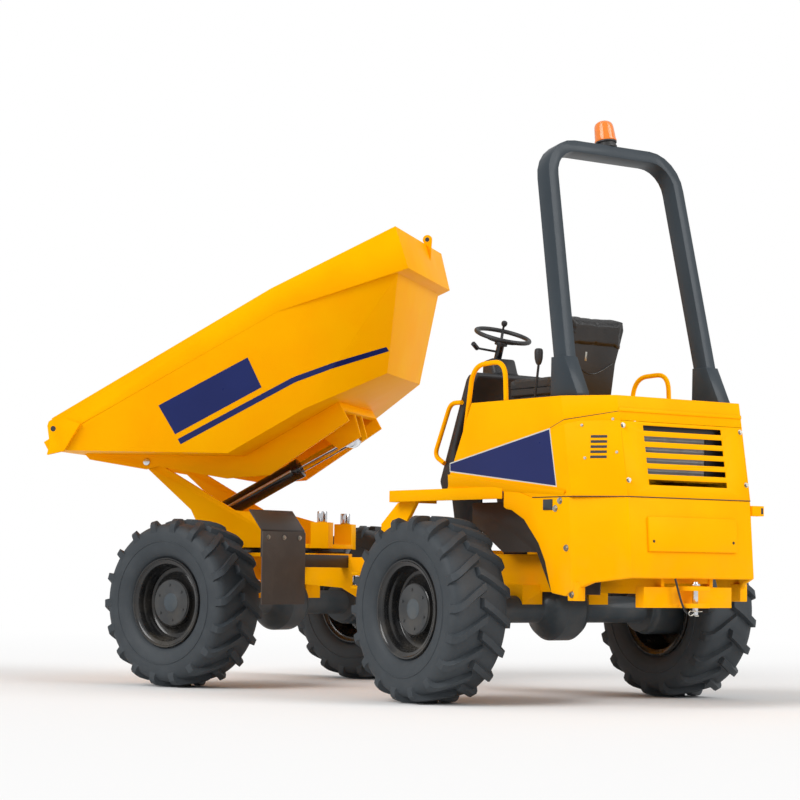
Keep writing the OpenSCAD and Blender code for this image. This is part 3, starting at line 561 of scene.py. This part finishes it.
# tyres and wheels
tyreSizes = {
    "wheelY": 0.95, "axleZ": 0.535, "lugs": 18, "stagger": 0.25, "sides": 108, "smooth": 32,
    "carcass": [(0.2545, 0.15), (0.288, 0.152), (0.301, 0.17), (0.318, 0.182), (0.345, 0.193), (0.375, 0.1985),
                (0.3845, 0.199), (0.3865, 0.2025), (0.3915, 0.2025), (0.394, 0.199), (0.42, 0.2), (0.447, 0.197),
                (0.47, 0.19), (0.487, 0.177), (0.497, 0.16), (0.502, 0.13), (0.5045, 0.08), (0.505, 0.0)],
    # offset, top radius, base radius and lead in degrees along a lug, from the crown to the sidewall
    "lug": [(-0.012, 0.5338, 0.496, 0.0), (0.02, 0.5345, 0.496, 2.0), (0.07, 0.5345, 0.495, 5.4),
            (0.12, 0.5335, 0.49, 9.2), (0.158, 0.5295, 0.478, 12.0), (0.183, 0.52, 0.46, 13.4),
            (0.198, 0.502, 0.44, 13.9), (0.2025, 0.468, 0.43, 14.0)],
    "lugTop": 0.021, "lugBase": 0.033, "lugDraw": 0.012,
}
wheelSizes = {
    "profile": [(0.0, 0.112), (0.146, 0.112), (0.15, 0.108), (0.151, 0.088), (0.16, 0.07), (0.19, 0.052), (0.21, 0.05),
                (0.222, 0.058), (0.2265, 0.084), (0.2275, 0.104), (0.236, 0.114), (0.2395, 0.124), (0.2405, 0.148),
                (0.247, 0.158), (0.262, 0.161), (0.2695, 0.165), (0.274, 0.171), (0.282, 0.171), (0.286, 0.166),
                (0.286, 0.156), (0.264, 0.151), (0.2535, 0.145), (0.2535, 0.0), (0.2535, -0.145), (0.264, -0.151),
                (0.286, -0.156), (0.286, -0.166), (0.282, -0.171), (0.274, -0.171), (0.268, -0.164), (0.246, -0.158),
                (0.241, -0.12), (0.232, -0.1), (0.2295, -0.03), (0.2285, 0.03), (0.2, 0.038), (0.16, 0.036),
                (0.0, 0.036)],
    "hub": [(0.0, 0.1195), (0.05, 0.1195), (0.053, 0.1175), (0.136, 0.117), (0.141, 0.1155), (0.1425, 0.1115)],
    "sides": 96, "hubSides": 72, "smooth": 40, "bolts": 6, "boltR": 0.112, "boltY": 0.117, "boltTurn": 0.4,
}


def wheelFrame(end, side):
    base = rear if end == "rear" else front @ Matrix.Translation(place["frontAxle"])
    return base @ Matrix.Translation((0, side * tyreSizes["wheelY"], tyreSizes["axleZ"]))


def lugMesh(side):
    form = bmesh.new()
    rings, wide, slim = [], tyreSizes["lugBase"], tyreSizes["lugTop"]
    for y, top, low, lead in tyreSizes["lug"]:
        ring = []
        for r, half in ((low, -wide), (top, -slim), (top, slim), (low, wide)):
            a = math.radians(lead) + half / r
            draw = side * tyreSizes["lugDraw"] if r == low else 0
            ring.append(form.verts.new((-r * math.sin(a), side * y - draw, r * math.cos(a))))
        rings.append(ring)
    for a, b in zip(rings, rings[1:]):
        for i in range(4):
            form.faces.new((a[i], a[(i + 1) % 4], b[(i + 1) % 4], b[i]))
    form.faces.new(rings[0])
    form.faces.new(rings[-1][::-1])
    bmesh.ops.recalc_face_normals(form, faces=form.faces)
    mesh = bpy.data.meshes.new("lug")
    form.to_mesh(mesh)
    form.free()
    return mesh


def makeWheel(end, side, hand):
    node, title = end + "_" + hand.lower(), end.capitalize() + hand
    body, at = node + "_wheel", wheelFrame(end, side)
    half = tyreSizes["carcass"]
    tyre = Form(at).lathe(half + [(r, -y) for r, y in reversed(half[:-1])], tyreSizes["sides"])
    for way in (1, -1):                  # one ring of lugs on each side of the crown
        ring = {"Count": tyreSizes["lugs"], "Start": tyreSizes["stagger"] * way}
        tyre.mesh.from_mesh(repeat(lugMesh(way), "ring", ring, "tyreRubber"))
    tyre.done("tyre" + title, "tyreRubber", body, ("tyre_" + node,), angle=tyreSizes["smooth"])
    out = at @ Matrix.Rotation(0 if side > 0 else math.pi, 4, "Z")
    rim = Form(out).lathe(wheelSizes["profile"], wheelSizes["sides"])
    rim.done("rim" + title, "blackGloss", body, ("wheel_" + node,), angle=wheelSizes["smooth"])
    hub = Form(out).lathe(wheelSizes["hub"], wheelSizes["hubSides"])
    hub.done("hubPlate" + title, "hubGrey", body, angle=wheelSizes["smooth"])
    r, y, count = wheelSizes["boltR"], wheelSizes["boltY"], wheelSizes["bolts"]
    turns = [2 * math.pi / count * k + wheelSizes["boltTurn"] for k in range(count)]
    spots = [((r * math.cos(a), y, r * math.sin(a)), (0, 1, 0)) for a in turns]
    bolts("hubBolts" + title, spots, body, out, "hub", "hubGrey")


for end in ("rear", "front"):
    for side, hand in hands:
        makeWheel(end, side, hand)
print("tyres and wheels done")

# skip
films = {                                # plain colour shapes on the skip's sides, as x and z about its hinge
    "filmPanel": [(-0.365, 0.19), (-1.035, 0.165), (-1.02, -0.045), (-0.37, -0.025)],
    "filmStripe": [(-0.37, -0.06), (-1.217, -0.09), (-1.217, -0.125), (-0.37, -0.098)],
    "filmStripeEnd": [(-1.217, -0.09), (-1.8, -0.157), (-1.8, -0.186), (-1.217, -0.125)],
}
filmSizes = {"lift": 0.0015, "cell": 0.006, "least": 2, "far": 2, "smooth": 20}
shell = nodes["skip_shell"].data
shellTree = BVHTree.FromPolygons([v.co for v in shell.vertices], [p.vertices for p in shell.polygons])


def onSkip(x, z, side):                  # the spot on the skip's outer plate and the way it faces
    out = tub.to_3x3() @ Vector((0, side, 0))
    hit, aim, _, _ = shellTree.ray_cast(tub @ Vector((x, side * filmSizes["far"], z)), -out)
    return hit, aim if aim.dot(out) > 0 else -aim


def film(name, corners, side):           # a colour film laid on the skip's plate from one side
    a, b, c, d = [Vector((x, 0, z)) for x, z in corners]
    cells = [round(run.length / filmSizes["cell"]) for run in (b - a, d - a)]
    along, down = [max(filmSizes["least"], count) for count in cells]
    points = []
    for i in range(along + 1):
        for k in range(down + 1):
            p = a.lerp(b, i / along).lerp(d.lerp(c, i / along), k / down)
            hit, aim = onSkip(p.x, p.z, side)
            points.append(hit + aim * filmSizes["lift"])
    row = down + 1
    faces = [(i * row + k, i * row + k + 1, (i + 1) * row + k + 1, (i + 1) * row + k)
             for i in range(along) for k in range(down)]
    Form(Matrix()).skin(points, faces).done(name, "navyFilm", "skip", angle=filmSizes["smooth"])


for label, corners in films.items():
    for side, hand in hands:
        film(label + hand, corners, side)

eye = {"at": (-2.274, -0.2, 0.49), "r": 0.032, "arc": (205, -11, -15), "foot": (-2.219, 0.345),
       "shoulder": (-2.24, 0.463), "thick": 0.014, "roll": 0.002, "hole": 0.015, "holeSides": 28}
wingHole = {"at": (0.325, 0.403), "r": 0.018, "deep": 0.004, "sides": 32}
proud = 0.0006                           # of a dark disc that paints the shade inside a hole


def dressSkip():
    (x, y, z), r, half = eye["at"], eye["r"], eye["thick"] / 2
    arc = [math.radians(a) for a in range(*eye["arc"])]
    outline = [eye["foot"]] + [(x + r * math.cos(a), z + r * math.sin(a)) for a in arc] + [eye["shoulder"]]
    Form(tub).across(outline, y - half, y + half).done("liftingEye", "yellowPaint", "skip", roll=eye["roll"])
    # the eye's hole: a dark grey rod of painted shade
    ends = [(x, y - half - proud, z), (x, y + half + proud, z)]
    Form(tub).rod(*ends, eye["hole"], eye["holeSides"]).done("eyeHole", "hubGrey", "skip")
    # the wing holes: black discs of painted shade
    holes = Form(Matrix())
    for side, _ in hands:
        hit, aim = onSkip(*wingHole["at"], side)
        holes.rod(hit - aim * wingHole["deep"], hit + aim * proud, wingHole["r"], wingHole["sides"])
    holes.done("wingHoles", "blackPlastic", "skip")


dressSkip()
print("skip dressed")

# rear body
badge = {"outline": [(0.221, 1.391), (0.22, 1.338), (-0.771, 1.227), (-0.706, 1.558)], "rim": 0.007, "y": 0.65,
         "sink": 0.001, "rimProud": 0.0008, "proud": 0.0016}


def inset(outline, depth):               # the same convex outline, drawn in by a depth
    points = [Vector(p) for p in outline]
    result = []
    for before, p, after in zip(points[-1:] + points[:-1], points, points[1:] + points[:1]):
        a, b = (p - before).normalized(), (after - p).normalized()
        a, b = Vector((-a.y, a.x)), Vector((-b.y, b.x))
        result.append(p + (a + b) * depth / (1 + a.dot(b)))
    return result


def makeBadge(side, hand):
    low, rim, face = [side * (badge["y"] + d) for d in (-badge["sink"], badge["rimProud"], badge["proud"])]
    Form(rear).across(badge["outline"], low, rim).done("badgeRim" + hand, "paleLine", "rear_chassis")
    inner = inset(badge["outline"], -badge["rim"])
    Form(rear).across(inner, low, face).done("badge" + hand, "navyFilm", "rear_chassis")


louvre = {"at": (-1.0, 0.5425, 1.448), "aim": (-0.591, 0.8, 0.099), "along": (-0.804, -0.594, 0),
          "half": 0.046, "tall": 0.007, "sink": 0.002, "proud": 0.0008, "step": 0.0285, "count": 5,
          "screws": [(-0.913, 0.592, 1.568), (-1.051, 0.485, 1.601), (-0.942, 0.593, 1.385), (-1.084, 0.484, 1.417)]}


def makeLouvre(side, hand):
    at, aim, along = [Vector((x, side * y, z)) for x, y, z in (louvre["at"], louvre["aim"], louvre["along"])]
    up = aim.cross(along)
    local = Matrix((along, up, aim)).transposed().to_4x4()
    local.translation = at - up * louvre["step"] * (louvre["count"] - 1) / 2
    half, tall = louvre["half"], louvre["tall"]
    slat = Form(rear @ local).box((-half, -tall, -louvre["sink"]), (half, tall, louvre["proud"])).bare("slat")
    step = rear.to_3x3() @ up * louvre["step"]
    slats = repeat(slat, "row", {"Count": louvre["count"], "Step": tuple(step)}, "blackPlastic")
    asPiece("louvre" + hand, slats, "blackPlastic", "rear_chassis")
    screws = [(Vector((x, side * y, z)), aim) for x, y, z in louvre["screws"]]
    bolts("louvreScrews" + hand, screws, "rear_chassis", rear, "screw")


tail = {"lean": 9.5, "split": (-1.153, 0, 1.173), "tilt": 4.0, "low": (-1.183, 0, 0.745),
        "seam": [(-0.555, 0.65), (-0.9, 0.65), (-1.153, 0.463), (-1.153, -0.463), (-0.9, -0.65), (-0.555, -0.65)],
        "seamR": 0.0022, "lip": [(-0.007, -0.463, 0.478), (0.001, 0.463, 0.498)], "lipRoll": 0.002,
        "panelBolts": [(0, y, z) for y in (0.444, -0.444) for z in (0.092, 0.4)],
        "coverScrews": [(-0.0165, y, 0.185) for y in (0.3, -0.3)],
        "sideBolts": [(-0.857, 0.65, 0.888), (-0.8, 0.65, 1.15), (-0.76, 0.65, 1.108), (-0.898, 0.642, 0.632)]}
upper = rear @ Matrix.Translation(tail["split"]) @ turned(tail["lean"], "Y")
lower = rear @ Matrix.Translation(tail["low"]) @ turned(tail["tilt"], "Y")
grilleShade = [((-1.048, -0.403, 1.19), (-1.042, -0.21, 1.56)),      # dark boxes that paint the shade behind the grille
               ((-1.05, -0.4, 1.19), (-1.043, 0.403, 1.283)), ((-1.05, -0.4, 1.526), (-1.043, 0.403, 1.575))]
tailBoxes = {                            # finish, two corners, rolled edge
    "stubBracket": ("yellowPaint", (-1.165, -0.56, 1.088), (-1.105, -0.47, 1.146), 0.003),
    # stubSlot: a dark box that paints the shade in the bracket's square hole
    "stubSlot": ("blackPlastic", (-1.1662, -0.552, 1.1), (-1.16, -0.536, 1.134), 0.0),
}
sideBoxes = {                            # the same, on both sides
    # sideCatch: a dark box proud of the side, painted shade of the recess around the catch
    "sideCatch": ("hubGrey", (-0.735, 0.648, 1.1), (-0.655, 0.656, 1.16), 0.003),
    "bodyFoot": ("yellowPaint", (-0.945, 0.585, 0.598), (-0.86, 0.642, 0.7), 0.004),
}


def dressTail():
    on, back = "rear_chassis", (-1, 0, 0)
    seam = [(x, y, tail["split"][2]) for x, y in tail["seam"]]
    Form(rear).tube(seam, tail["seamR"], facets["seam"]).done("bodySeam", "blackPlastic", on)
    Form(upper).box(*tail["lip"]).done("hoodLip", "yellowPaint", on, roll=tail["lipRoll"])
    bolts("panelBolts", [(p, back) for p in tail["panelBolts"]], on, upper, "panel")
    bolts("coverScrews", [(p, back) for p in tail["coverScrews"]], on, lower, "screw", "brownPlate")
    shade = Form(rear)
    for low, high in grilleShade:
        shade.box(low, high)
    shade.done("grilleShade", "blackPlastic", on)
    for name, (finish, low, high, roll) in tailBoxes.items():
        Form(rear).box(low, high).done(name, finish, on, roll=roll)
    spots = []
    for side, hand in hands:
        makeBadge(side, hand)
        makeLouvre(side, hand)
        for name, (finish, low, high, roll) in sideBoxes.items():
            low, high = [(x, side * y, z) for x, y, z in (low, high)]
            Form(rear).box(low, high).done(name + hand, finish, on, roll=roll)
        spots += [((x, side * y, z), (0, side, 0)) for x, y, z in tail["sideBolts"]]
    bolts("sideBolts", spots, on, rear, "frame")


dressTail()
print("rear body dressed")

# seat
seat = {"at": (-0.23, 0, 1.805), "lean": -10.0, "pan": [(-0.26, -0.18, 1.7352), (0.16, 0.18, 1.803)], "panRoll": 0.008,
        "shell": [(0.18, -0.012), (0.182, 0.2), (0.2, 0.3), (0.216, 0.4), (0.205, 0.44), (0.18, 0.452)],
        "shellX": (-0.038, -0.012), "shellRoll": 0.007,
        "crease": [(0.155, 0.2), (0.09, 0.158), (0.03, 0.13), (-0.03, 0.13), (-0.09, 0.158), (-0.155, 0.2)],
        "creaseX": -0.0385, "creaseR": 0.0035, "creaseBend": 0.05,
        "slot": [(-0.0395, 0.045, 0.205), (-0.037, 0.06, 0.258)], "slotRoll": 0.001}
seatAt = rear @ Matrix.Translation(seat["at"]) @ turned(seat["lean"], "Y")
stuffed = {"voxel": 0.006, "ease": 0.5, "passes": 8, "pressure": 4.0, "frames": 20, "smooth": 60}
cushions = {                             # corners, how far the filling may push, the frame
    "seatPadLow": {"low": (-0.165, -0.205, 1.808), "high": (0.232, 0.205, 1.848), "cap": 0.01, "at": rear},
    "seatPadTop": {"low": (-0.17, -0.205, 1.852), "high": (0.236, 0.205, 1.896), "cap": 0.016, "at": rear},
    "backPadLow": {"low": (-0.008, -0.19, 0.05), "high": (0.045, 0.19, 0.25), "cap": 0.012, "at": seatAt},
    "backPadTop": {"low": (-0.044, -0.205, 0.285), "high": (0.05, 0.205, 0.452), "cap": 0.012, "at": seatAt},
}


def cushion(name, size):
    made = asPiece(name, Form(size["at"]).box(size["low"], size["high"]).bare(name), "seatVinyl", "rear_chassis")
    grain = made.modifiers.new("grain", "REMESH")
    grain.mode, grain.voxel_size = "VOXEL", stuffed["voxel"]
    ease = made.modifiers.new("ease", "SMOOTH")
    ease.factor, ease.iterations = stuffed["ease"], stuffed["passes"]
    plainMesh(made)
    start = [v.co.copy() for v in made.data.vertices]
    stuffing = made.modifiers.new("stuffing", "CLOTH")
    stuffing.settings.use_pressure = True
    stuffing.settings.uniform_pressure_force = stuffed["pressure"]
    stuffing.settings.effector_weights.gravity = 0
    for k in range(1, stuffed["frames"] + 1):
        scene.frame_set(k)
    graph = bpy.context.evaluated_depsgraph_get()
    pushed = [v.co - p for v, p in zip(made.evaluated_get(graph).data.vertices, start)]
    made.modifiers.clear()
    for v, p, push in zip(made.data.vertices, start, pushed):
        v.co = p + push * min(1.0, size["cap"] / max(push.length, 1e-9))
    scene.frame_set(1)
    soften = made.modifiers.new("soften", "SUBSURF")
    soften.levels = soften.render_levels = 1
    smoothed(plainMesh(made), stuffed["smooth"])
    return made


def makeSeat():
    on = "rear_chassis"
    Form(rear).box(*seat["pan"]).done("seatPan", "blackPlastic", on, ("seat_base",), roll=seat["panRoll"])
    outline = seat["shell"] + [(-y, z) for y, z in reversed(seat["shell"])]
    back = Form(seatAt).prism(*[[(x, y, z) for y, z in outline] for x in seat["shellX"]])
    back.done("seatShell", "blackPlastic", on, roll=seat["shellRoll"])
    line = bend([(seat["creaseX"], y, z) for y, z in seat["crease"]], seat["creaseBend"], bendSteps["short"])
    Form(seatAt).tube(line, seat["creaseR"], facets["wire"]).done("seatCrease", "blackGloss", on)
    Form(seatAt).box(*seat["slot"]).done("seatSlot", "zincBolt", on, roll=seat["slotRoll"])
    made = {name: cushion(name, size) for name, size in cushions.items()}
    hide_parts("seat_cushion")
    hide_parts("seat_back")


makeSeat()
print("seat filled")

# beacon on the roll bar
rops = {"foot": (-0.845, 0, 1.245), "lean": 11.9, "top": 3.25}
barTop = (rops["top"] - rops["foot"][2]) / math.cos(math.radians(rops["lean"]))
bar = rear @ Matrix.Translation(rops["foot"]) @ turned(rops["lean"], "Y")
beaconAt = bar @ Matrix.Translation((0, 0, barTop)) @ upright
beacon = {
    "base": [(0.0, 0.0003), (0.06, 0.0003), (0.062, 0.003), (0.062, 0.014), (0.055, 0.018), (0.055, 0.03),
             (0.064, 0.034), (0.064, 0.0415), (0.0, 0.0418)],
    "lens": [(0.0, 0.0426), (0.064, 0.0426), (0.0655, 0.045), (0.0655, 0.052), (0.0625, 0.054), (0.0605, 0.09),
             (0.0575, 0.13), (0.055, 0.146), (0.048, 0.158), (0.034, 0.168), (0.016, 0.1715), (0.0, 0.172)],
}
for label, finish in (("base", "blackPlastic"), ("lens", "amberLens")):
    piece = "beacon" + label.capitalize()
    Form(beaconAt).lathe(beacon[label], facets["beacon"]).done(piece, finish, "rear_chassis", ("beacon_" + label,))
print("beacon done")

# flaps and rest posts
flap = {"face": 0.5567, "z": 0.952, "y": (0.7, 0.85, 1.0)}
posts = {"x": -0.28, "y": 0.285, "z": (1.0615, 1.1375), "r": 0.033, "sides": 40, "roll": 0.004}


def dressFront():
    spots = [((flap["face"], side * y, flap["z"]), (-1, 0, 0)) for side, _ in hands for y in flap["y"]]
    bolts("flapBolts", spots, "front_chassis", front, "panel")
    form = Form(turn)
    for side, _ in hands:
        ends = [(posts["x"], side * posts["y"], z) for z in posts["z"]]
        form.rod(*ends, posts["r"], posts["sides"])
    form.done("restPosts", "chromed", "turntable", ("rest_posts",), roll=posts["roll"])


dressFront()
print("front dressed")

# operator's place
rails = {"r": 0.0145,                    # path, its offset to each side and its bend
         "hoop": ([(0.118, 1.465), (0.028, 1.958), (-0.272, 1.966), (-0.284, 1.737)], 0.6297, 0.11),
         "loop": ([(0.6, 1.79), (0.715, 1.79), (0.875, 1.472), (0.775, 1.42)], 0.2763, 0.07)}
wheel = {"at": (0.567, 0, 2.173), "tilt": -20.0, "turn": -36.0, "ring": 0.168, "wire": 0.0138, "dish": 0.045,
         "sides": 72, "spokes": 3, "spoke": [(0.02, 0.005), (0.08, 0.016), (0.14, 0.036), (0.166, 0.044)],
         "spokeR": 0.009, "spokeBend": 0.02,
         "hub": [(0.0, -0.0147), (0.04, -0.0147), (0.04, 0.004), (0.034, 0.016), (0.02, 0.019), (0.0, 0.0195)],
         "knob": [(0.0, 0.03), (0.007, 0.03), (0.007, 0.062), (0.015, 0.068), (0.0195, 0.08), (0.018, 0.093),
                  (0.009, 0.1), (0.0, 0.101)], "knobLift": 0.012}
wheelAt = rear @ Matrix.Translation(wheel["at"]) @ turned(wheel["tilt"], "Y")


def dressCab():
    form = Form(rear)
    for side, _ in hands:
        for path, y, r in (rails["hoop"], rails["loop"]):
            form.tube(bend([(x, side * y, z) for x, z in path], r, bendSteps["long"]), rails["r"])
    form.done("grabRails", "yellowPaint", "rear_chassis", ("grab_rails",))
    on, spun = "steering_wheel", wheelAt @ turned(wheel["turn"], "Z")
    form, r, n = Form(spun), wheel["ring"], wheel["sides"]
    ring = [2 * math.pi * k / n for k in range(n + 1)]
    form.tube([(r * math.cos(a), r * math.sin(a), wheel["dish"]) for a in ring], wheel["wire"])
    for a in [2 * math.pi * k / wheel["spokes"] for k in range(wheel["spokes"])]:
        reach = [(far * math.cos(a), far * math.sin(a), z) for far, z in wheel["spoke"]]
        form.tube(bend(reach, wheel["spokeBend"], bendSteps["short"]), wheel["spokeR"], facets["pipe"])
    form.done("steeringWheel", "blackPlastic", on, ("steering_wheel",))
    Form(wheelAt @ upright).lathe(wheel["hub"], facets["collar"]).done("wheelHub", "blackPlastic", on)
    knobAt = spun @ Matrix.Translation((r, 0, wheel["knobLift"])) @ upright
    Form(knobAt).lathe(wheel["knob"], facets["knob"]).done("spinnerKnob", "blackPlastic", on)


lever = {"foot": (-0.12, 0.29, 1.7355), "top": (-0.148, 0.281, 1.975), "rod": 0.0075,
         "boot": [(0.0, 0.001), (0.047, 0.001), (0.046, 0.008), (0.03, 0.014), (0.031, 0.019), (0.022, 0.024),
                  (0.023, 0.029), (0.014, 0.034), (0.0, 0.036)],
         "knob": [(0.0, -0.004), (0.012, -0.002), (0.019, 0.012), (0.0245, 0.035), (0.026, 0.07), (0.024, 0.087),
                  (0.016, 0.094), (0.0, 0.096)]}


def makeLever():
    on = "rear_chassis"
    rod = Form(rear).rod(lever["foot"], lever["top"], lever["rod"])
    rod.done("leverRod", "blackGloss", on, ("control_levers",))
    for label, spot in (("boot", lever["foot"]), ("knob", lever["top"])):
        at = rear @ Matrix.Translation(spot) @ upright
        Form(at).lathe(lever[label], facets["lever"]).done("lever" + label.capitalize(), "blackPlastic", on)


dressCab()
makeLever()
print("cab dressed")

# wheel arch liner in painted shade, ledge and upper seam
arch = {"liner": [(-0.76, 0.63), (-0.8, 1.1), (-0.3, 1.168), (0.42, 1.168), (0.42, 1.05), (0.12, 0.87), (-0.2, 0.87),
                  (-0.34, 0.63)], "linerY": (0.318, 0.326), "roll": 0.002,
        "ledge": [(0.215, 1.322), (-0.855, 1.204), (-0.83, 1.178), (0.235, 1.244)], "face": 0.6495, "stand": 0.02,
        "seam": [(-0.706, 0.65, 1.558), (-0.8286, 0.65, 1.6), (-1.074, 0.463, 1.645)], "seamR": 0.0016}


def dressArches():
    on = "rear_chassis"
    for side, hand in hands:
        # the liners are dark brown plates: painted shade inside the wheel arches
        low, high = [side * y for y in arch["linerY"]]
        Form(rear).across(arch["liner"], low, high).done("archLiner" + hand, "brownPlate", on, roll=arch["roll"])
        face = side * arch["face"]
        out = face + side * arch["stand"]
        points = [(x, face, z) for x, z in arch["ledge"]] + [(x, out, z) for x, z in arch["ledge"][:2]]
        ledge = Form(rear).skin(points, [(0, 1, 2, 3), (0, 4, 5, 1), (3, 2, 5, 4), (0, 3, 4), (1, 5, 2)])
        ledge.done("sideLedge" + hand, "yellowPaint", on, roll=arch["roll"])
        line = [(x, side * y, z) for x, y, z in arch["seam"]]
        Form(rear).tube(line, arch["seamR"], facets["seam"]).done("upperSeam" + hand, "brownPlate", on)


dressArches()
print("arches lined")

# tipping ram
ram = {"base": (0.561, 0, 1.106), "angle": -151.24, "collars": [(0.636, 0.691), (0.04, 0.07)], "collarR": 0.067,
       "roll": 0.003, "pipe": [(0.1, 0.05, 0), (0.1, 0.078, 0), (0.63, 0.078, 0), (0.63, 0.055, 0)],
       "pipeR": 0.009, "pipeBend": 0.02}
ramAt = turn @ Matrix.Translation(ram["base"]) @ turned(ram["angle"], "Y")


def dressRams():
    form = Form(ramAt)
    for low, high in ram["collars"]:
        form.rod((low, 0, 0), (high, 0, 0), ram["collarR"], facets["collar"])
    form.done("ramGland", "blackGloss", "tip_barrel", roll=ram["roll"])
    pipe = bend(ram["pipe"], ram["pipeBend"], bendSteps["pipe"])
    Form(ramAt).tube(pipe, ram["pipeR"], facets["pipe"]).done("ramPipe", "zincBolt", "tip_barrel")


dressRams()

# hitch
hitch = {"clipX": -1.2115, "clipZ": 0.54, "clipR": 0.0026, "clipBend": 0.02,
         "clip": [(-0.036, 0.006), (0.03, 0.006), (0.055, 0.01), (0.066, -0.006), (0.05, -0.02), (0.03, -0.008),
                  (0.014, -0.02), (-0.012, -0.018)],
         "strap": [(-1.172, 0.13, 0.732), (-1.178, 0.118, 0.68), (-1.192, 0.098, 0.59), (-1.198, 0.07, 0.535),
                   (-1.196, 0.0155, 0.54)], "strapR": 0.006, "strapBend": 0.08}


def dressHitch():
    clip = [(hitch["clipX"], y, hitch["clipZ"] + up) for y, up in hitch["clip"]]
    line = bend(clip, hitch["clipBend"], bendSteps["pipe"])
    Form(rear).tube(line, hitch["clipR"], facets["wire"]).done("pinClip", "zincBolt", "rear_chassis")
    path = [rear @ p for p in bend(hitch["strap"], hitch["strapBend"], bendSteps["long"])]
    strap = Form(Matrix()).tube(path, hitch["strapR"], facets["pipe"]).done("pinStrap", "blackPlastic", "rear_chassis")
    length = sum((b - a).length for a, b in zip(path, path[1:]))
    print("pin strap", round(length, 3))


dressHitch()
print("rams and hitch dressed")

# studio
studio = {"floor": 40.0, "fade": (9.0, 6.0), "pale": 0.86, "sky": 0.52, "glossy": 0.5, "soft": 35,
          "lamps": [("key", 1.9, (0.1, -0.8, -0.58)), ("back", 1.5, (0.75, 0.4, -0.5))]}


def makeFloor():
    made, tree = newMaterial("paleFloor")
    far = tree.add("ShaderNodeVectorMath", {"operation": "LENGTH"}, {0: ownSpace(tree)}, "Value").near(*studio["fade"])
    pale = tree.add("ShaderNodeBsdfDiffuse", {}, {"Color": (studio["pale"],) * 3 + (1,)})
    glow = tree.add("ShaderNodeEmission", {}, {"Color": (1, 1, 1, 1), "Strength": 1.0})
    both = tree.add("ShaderNodeMixShader", {}, {0: far, 1: pale, 2: glow})
    tree.end("ShaderNodeOutputMaterial", "Surface", both)
    half = studio["floor"]
    mesh = bpy.data.meshes.new("studioFloor")
    mesh.from_pydata([(-half, -half, 0), (half, -half, 0), (half, half, 0), (-half, half, 0)], [], [(0, 1, 2, 3)])
    mesh.materials.append(made)
    floor = bpy.data.objects.new("studioFloor", mesh)
    scene.collection.objects.link(floor)


def makeLight():
    for name, strength, travel in studio["lamps"]:
        lamp = bpy.data.lights.new(name, "SUN")
        lamp.energy, lamp.angle = strength, math.radians(studio["soft"])
        lit = bpy.data.objects.new(name, lamp)
        lit.rotation_euler = Vector(travel).to_track_quat("-Z", "Y").to_euler()
        scene.collection.objects.link(lit)
    world = bpy.data.worlds.new("studio")
    scene.world = world
    world.use_nodes = True
    world.node_tree.nodes.clear()
    tree = Tree(world.node_tree)
    rays = ("Is Camera Ray", "Is Transmission Ray", "Is Glossy Ray")
    direct, through, glossy = [tree.add("ShaderNodeLightPath", {}, {}, ray) for ray in rays]
    seen = direct.most(through).most(glossy * studio["glossy"])
    sky, white = [tree.add("ShaderNodeBackground", {}, {"Color": (1, 1, 1, 1), "Strength": strength})
                  for strength in (studio["sky"], 1.0)]
    both = tree.add("ShaderNodeMixShader", {}, {0: seen, 1: sky, 2: white})
    tree.end("ShaderNodeOutputWorld", "Surface", both)


makeFloor()
makeLight()

shot = {"from": (-12.232, 8.592, 0.734), "heading": -35.72, "rise": 0.074, "roll": 0.0124, "lens": 105.58,
        "sensor": 36.0, "reach": 200.0}


def aimCamera():
    a, rise = math.radians(shot["heading"]), shot["rise"]
    ahead = Vector((math.cos(a) * math.cos(rise), math.sin(a) * math.cos(rise), math.sin(rise)))
    right = Vector((math.sin(a), -math.cos(a), 0))
    up = right.cross(ahead)
    c, s = math.cos(shot["roll"]), math.sin(shot["roll"])
    right, up = c * right + s * up, c * up - s * right
    data = bpy.data.cameras.new("photoCamera")
    data.lens, data.sensor_width, data.clip_end = shot["lens"], shot["sensor"], shot["reach"]
    camera = bpy.data.objects.new("photoCamera", data)
    camera.matrix_world = Matrix((right, up, -ahead)).transposed().to_4x4()
    camera.location = shot["from"]
    scene.collection.objects.link(camera)
    scene.camera = camera


aimCamera()
print("studio and camera set")
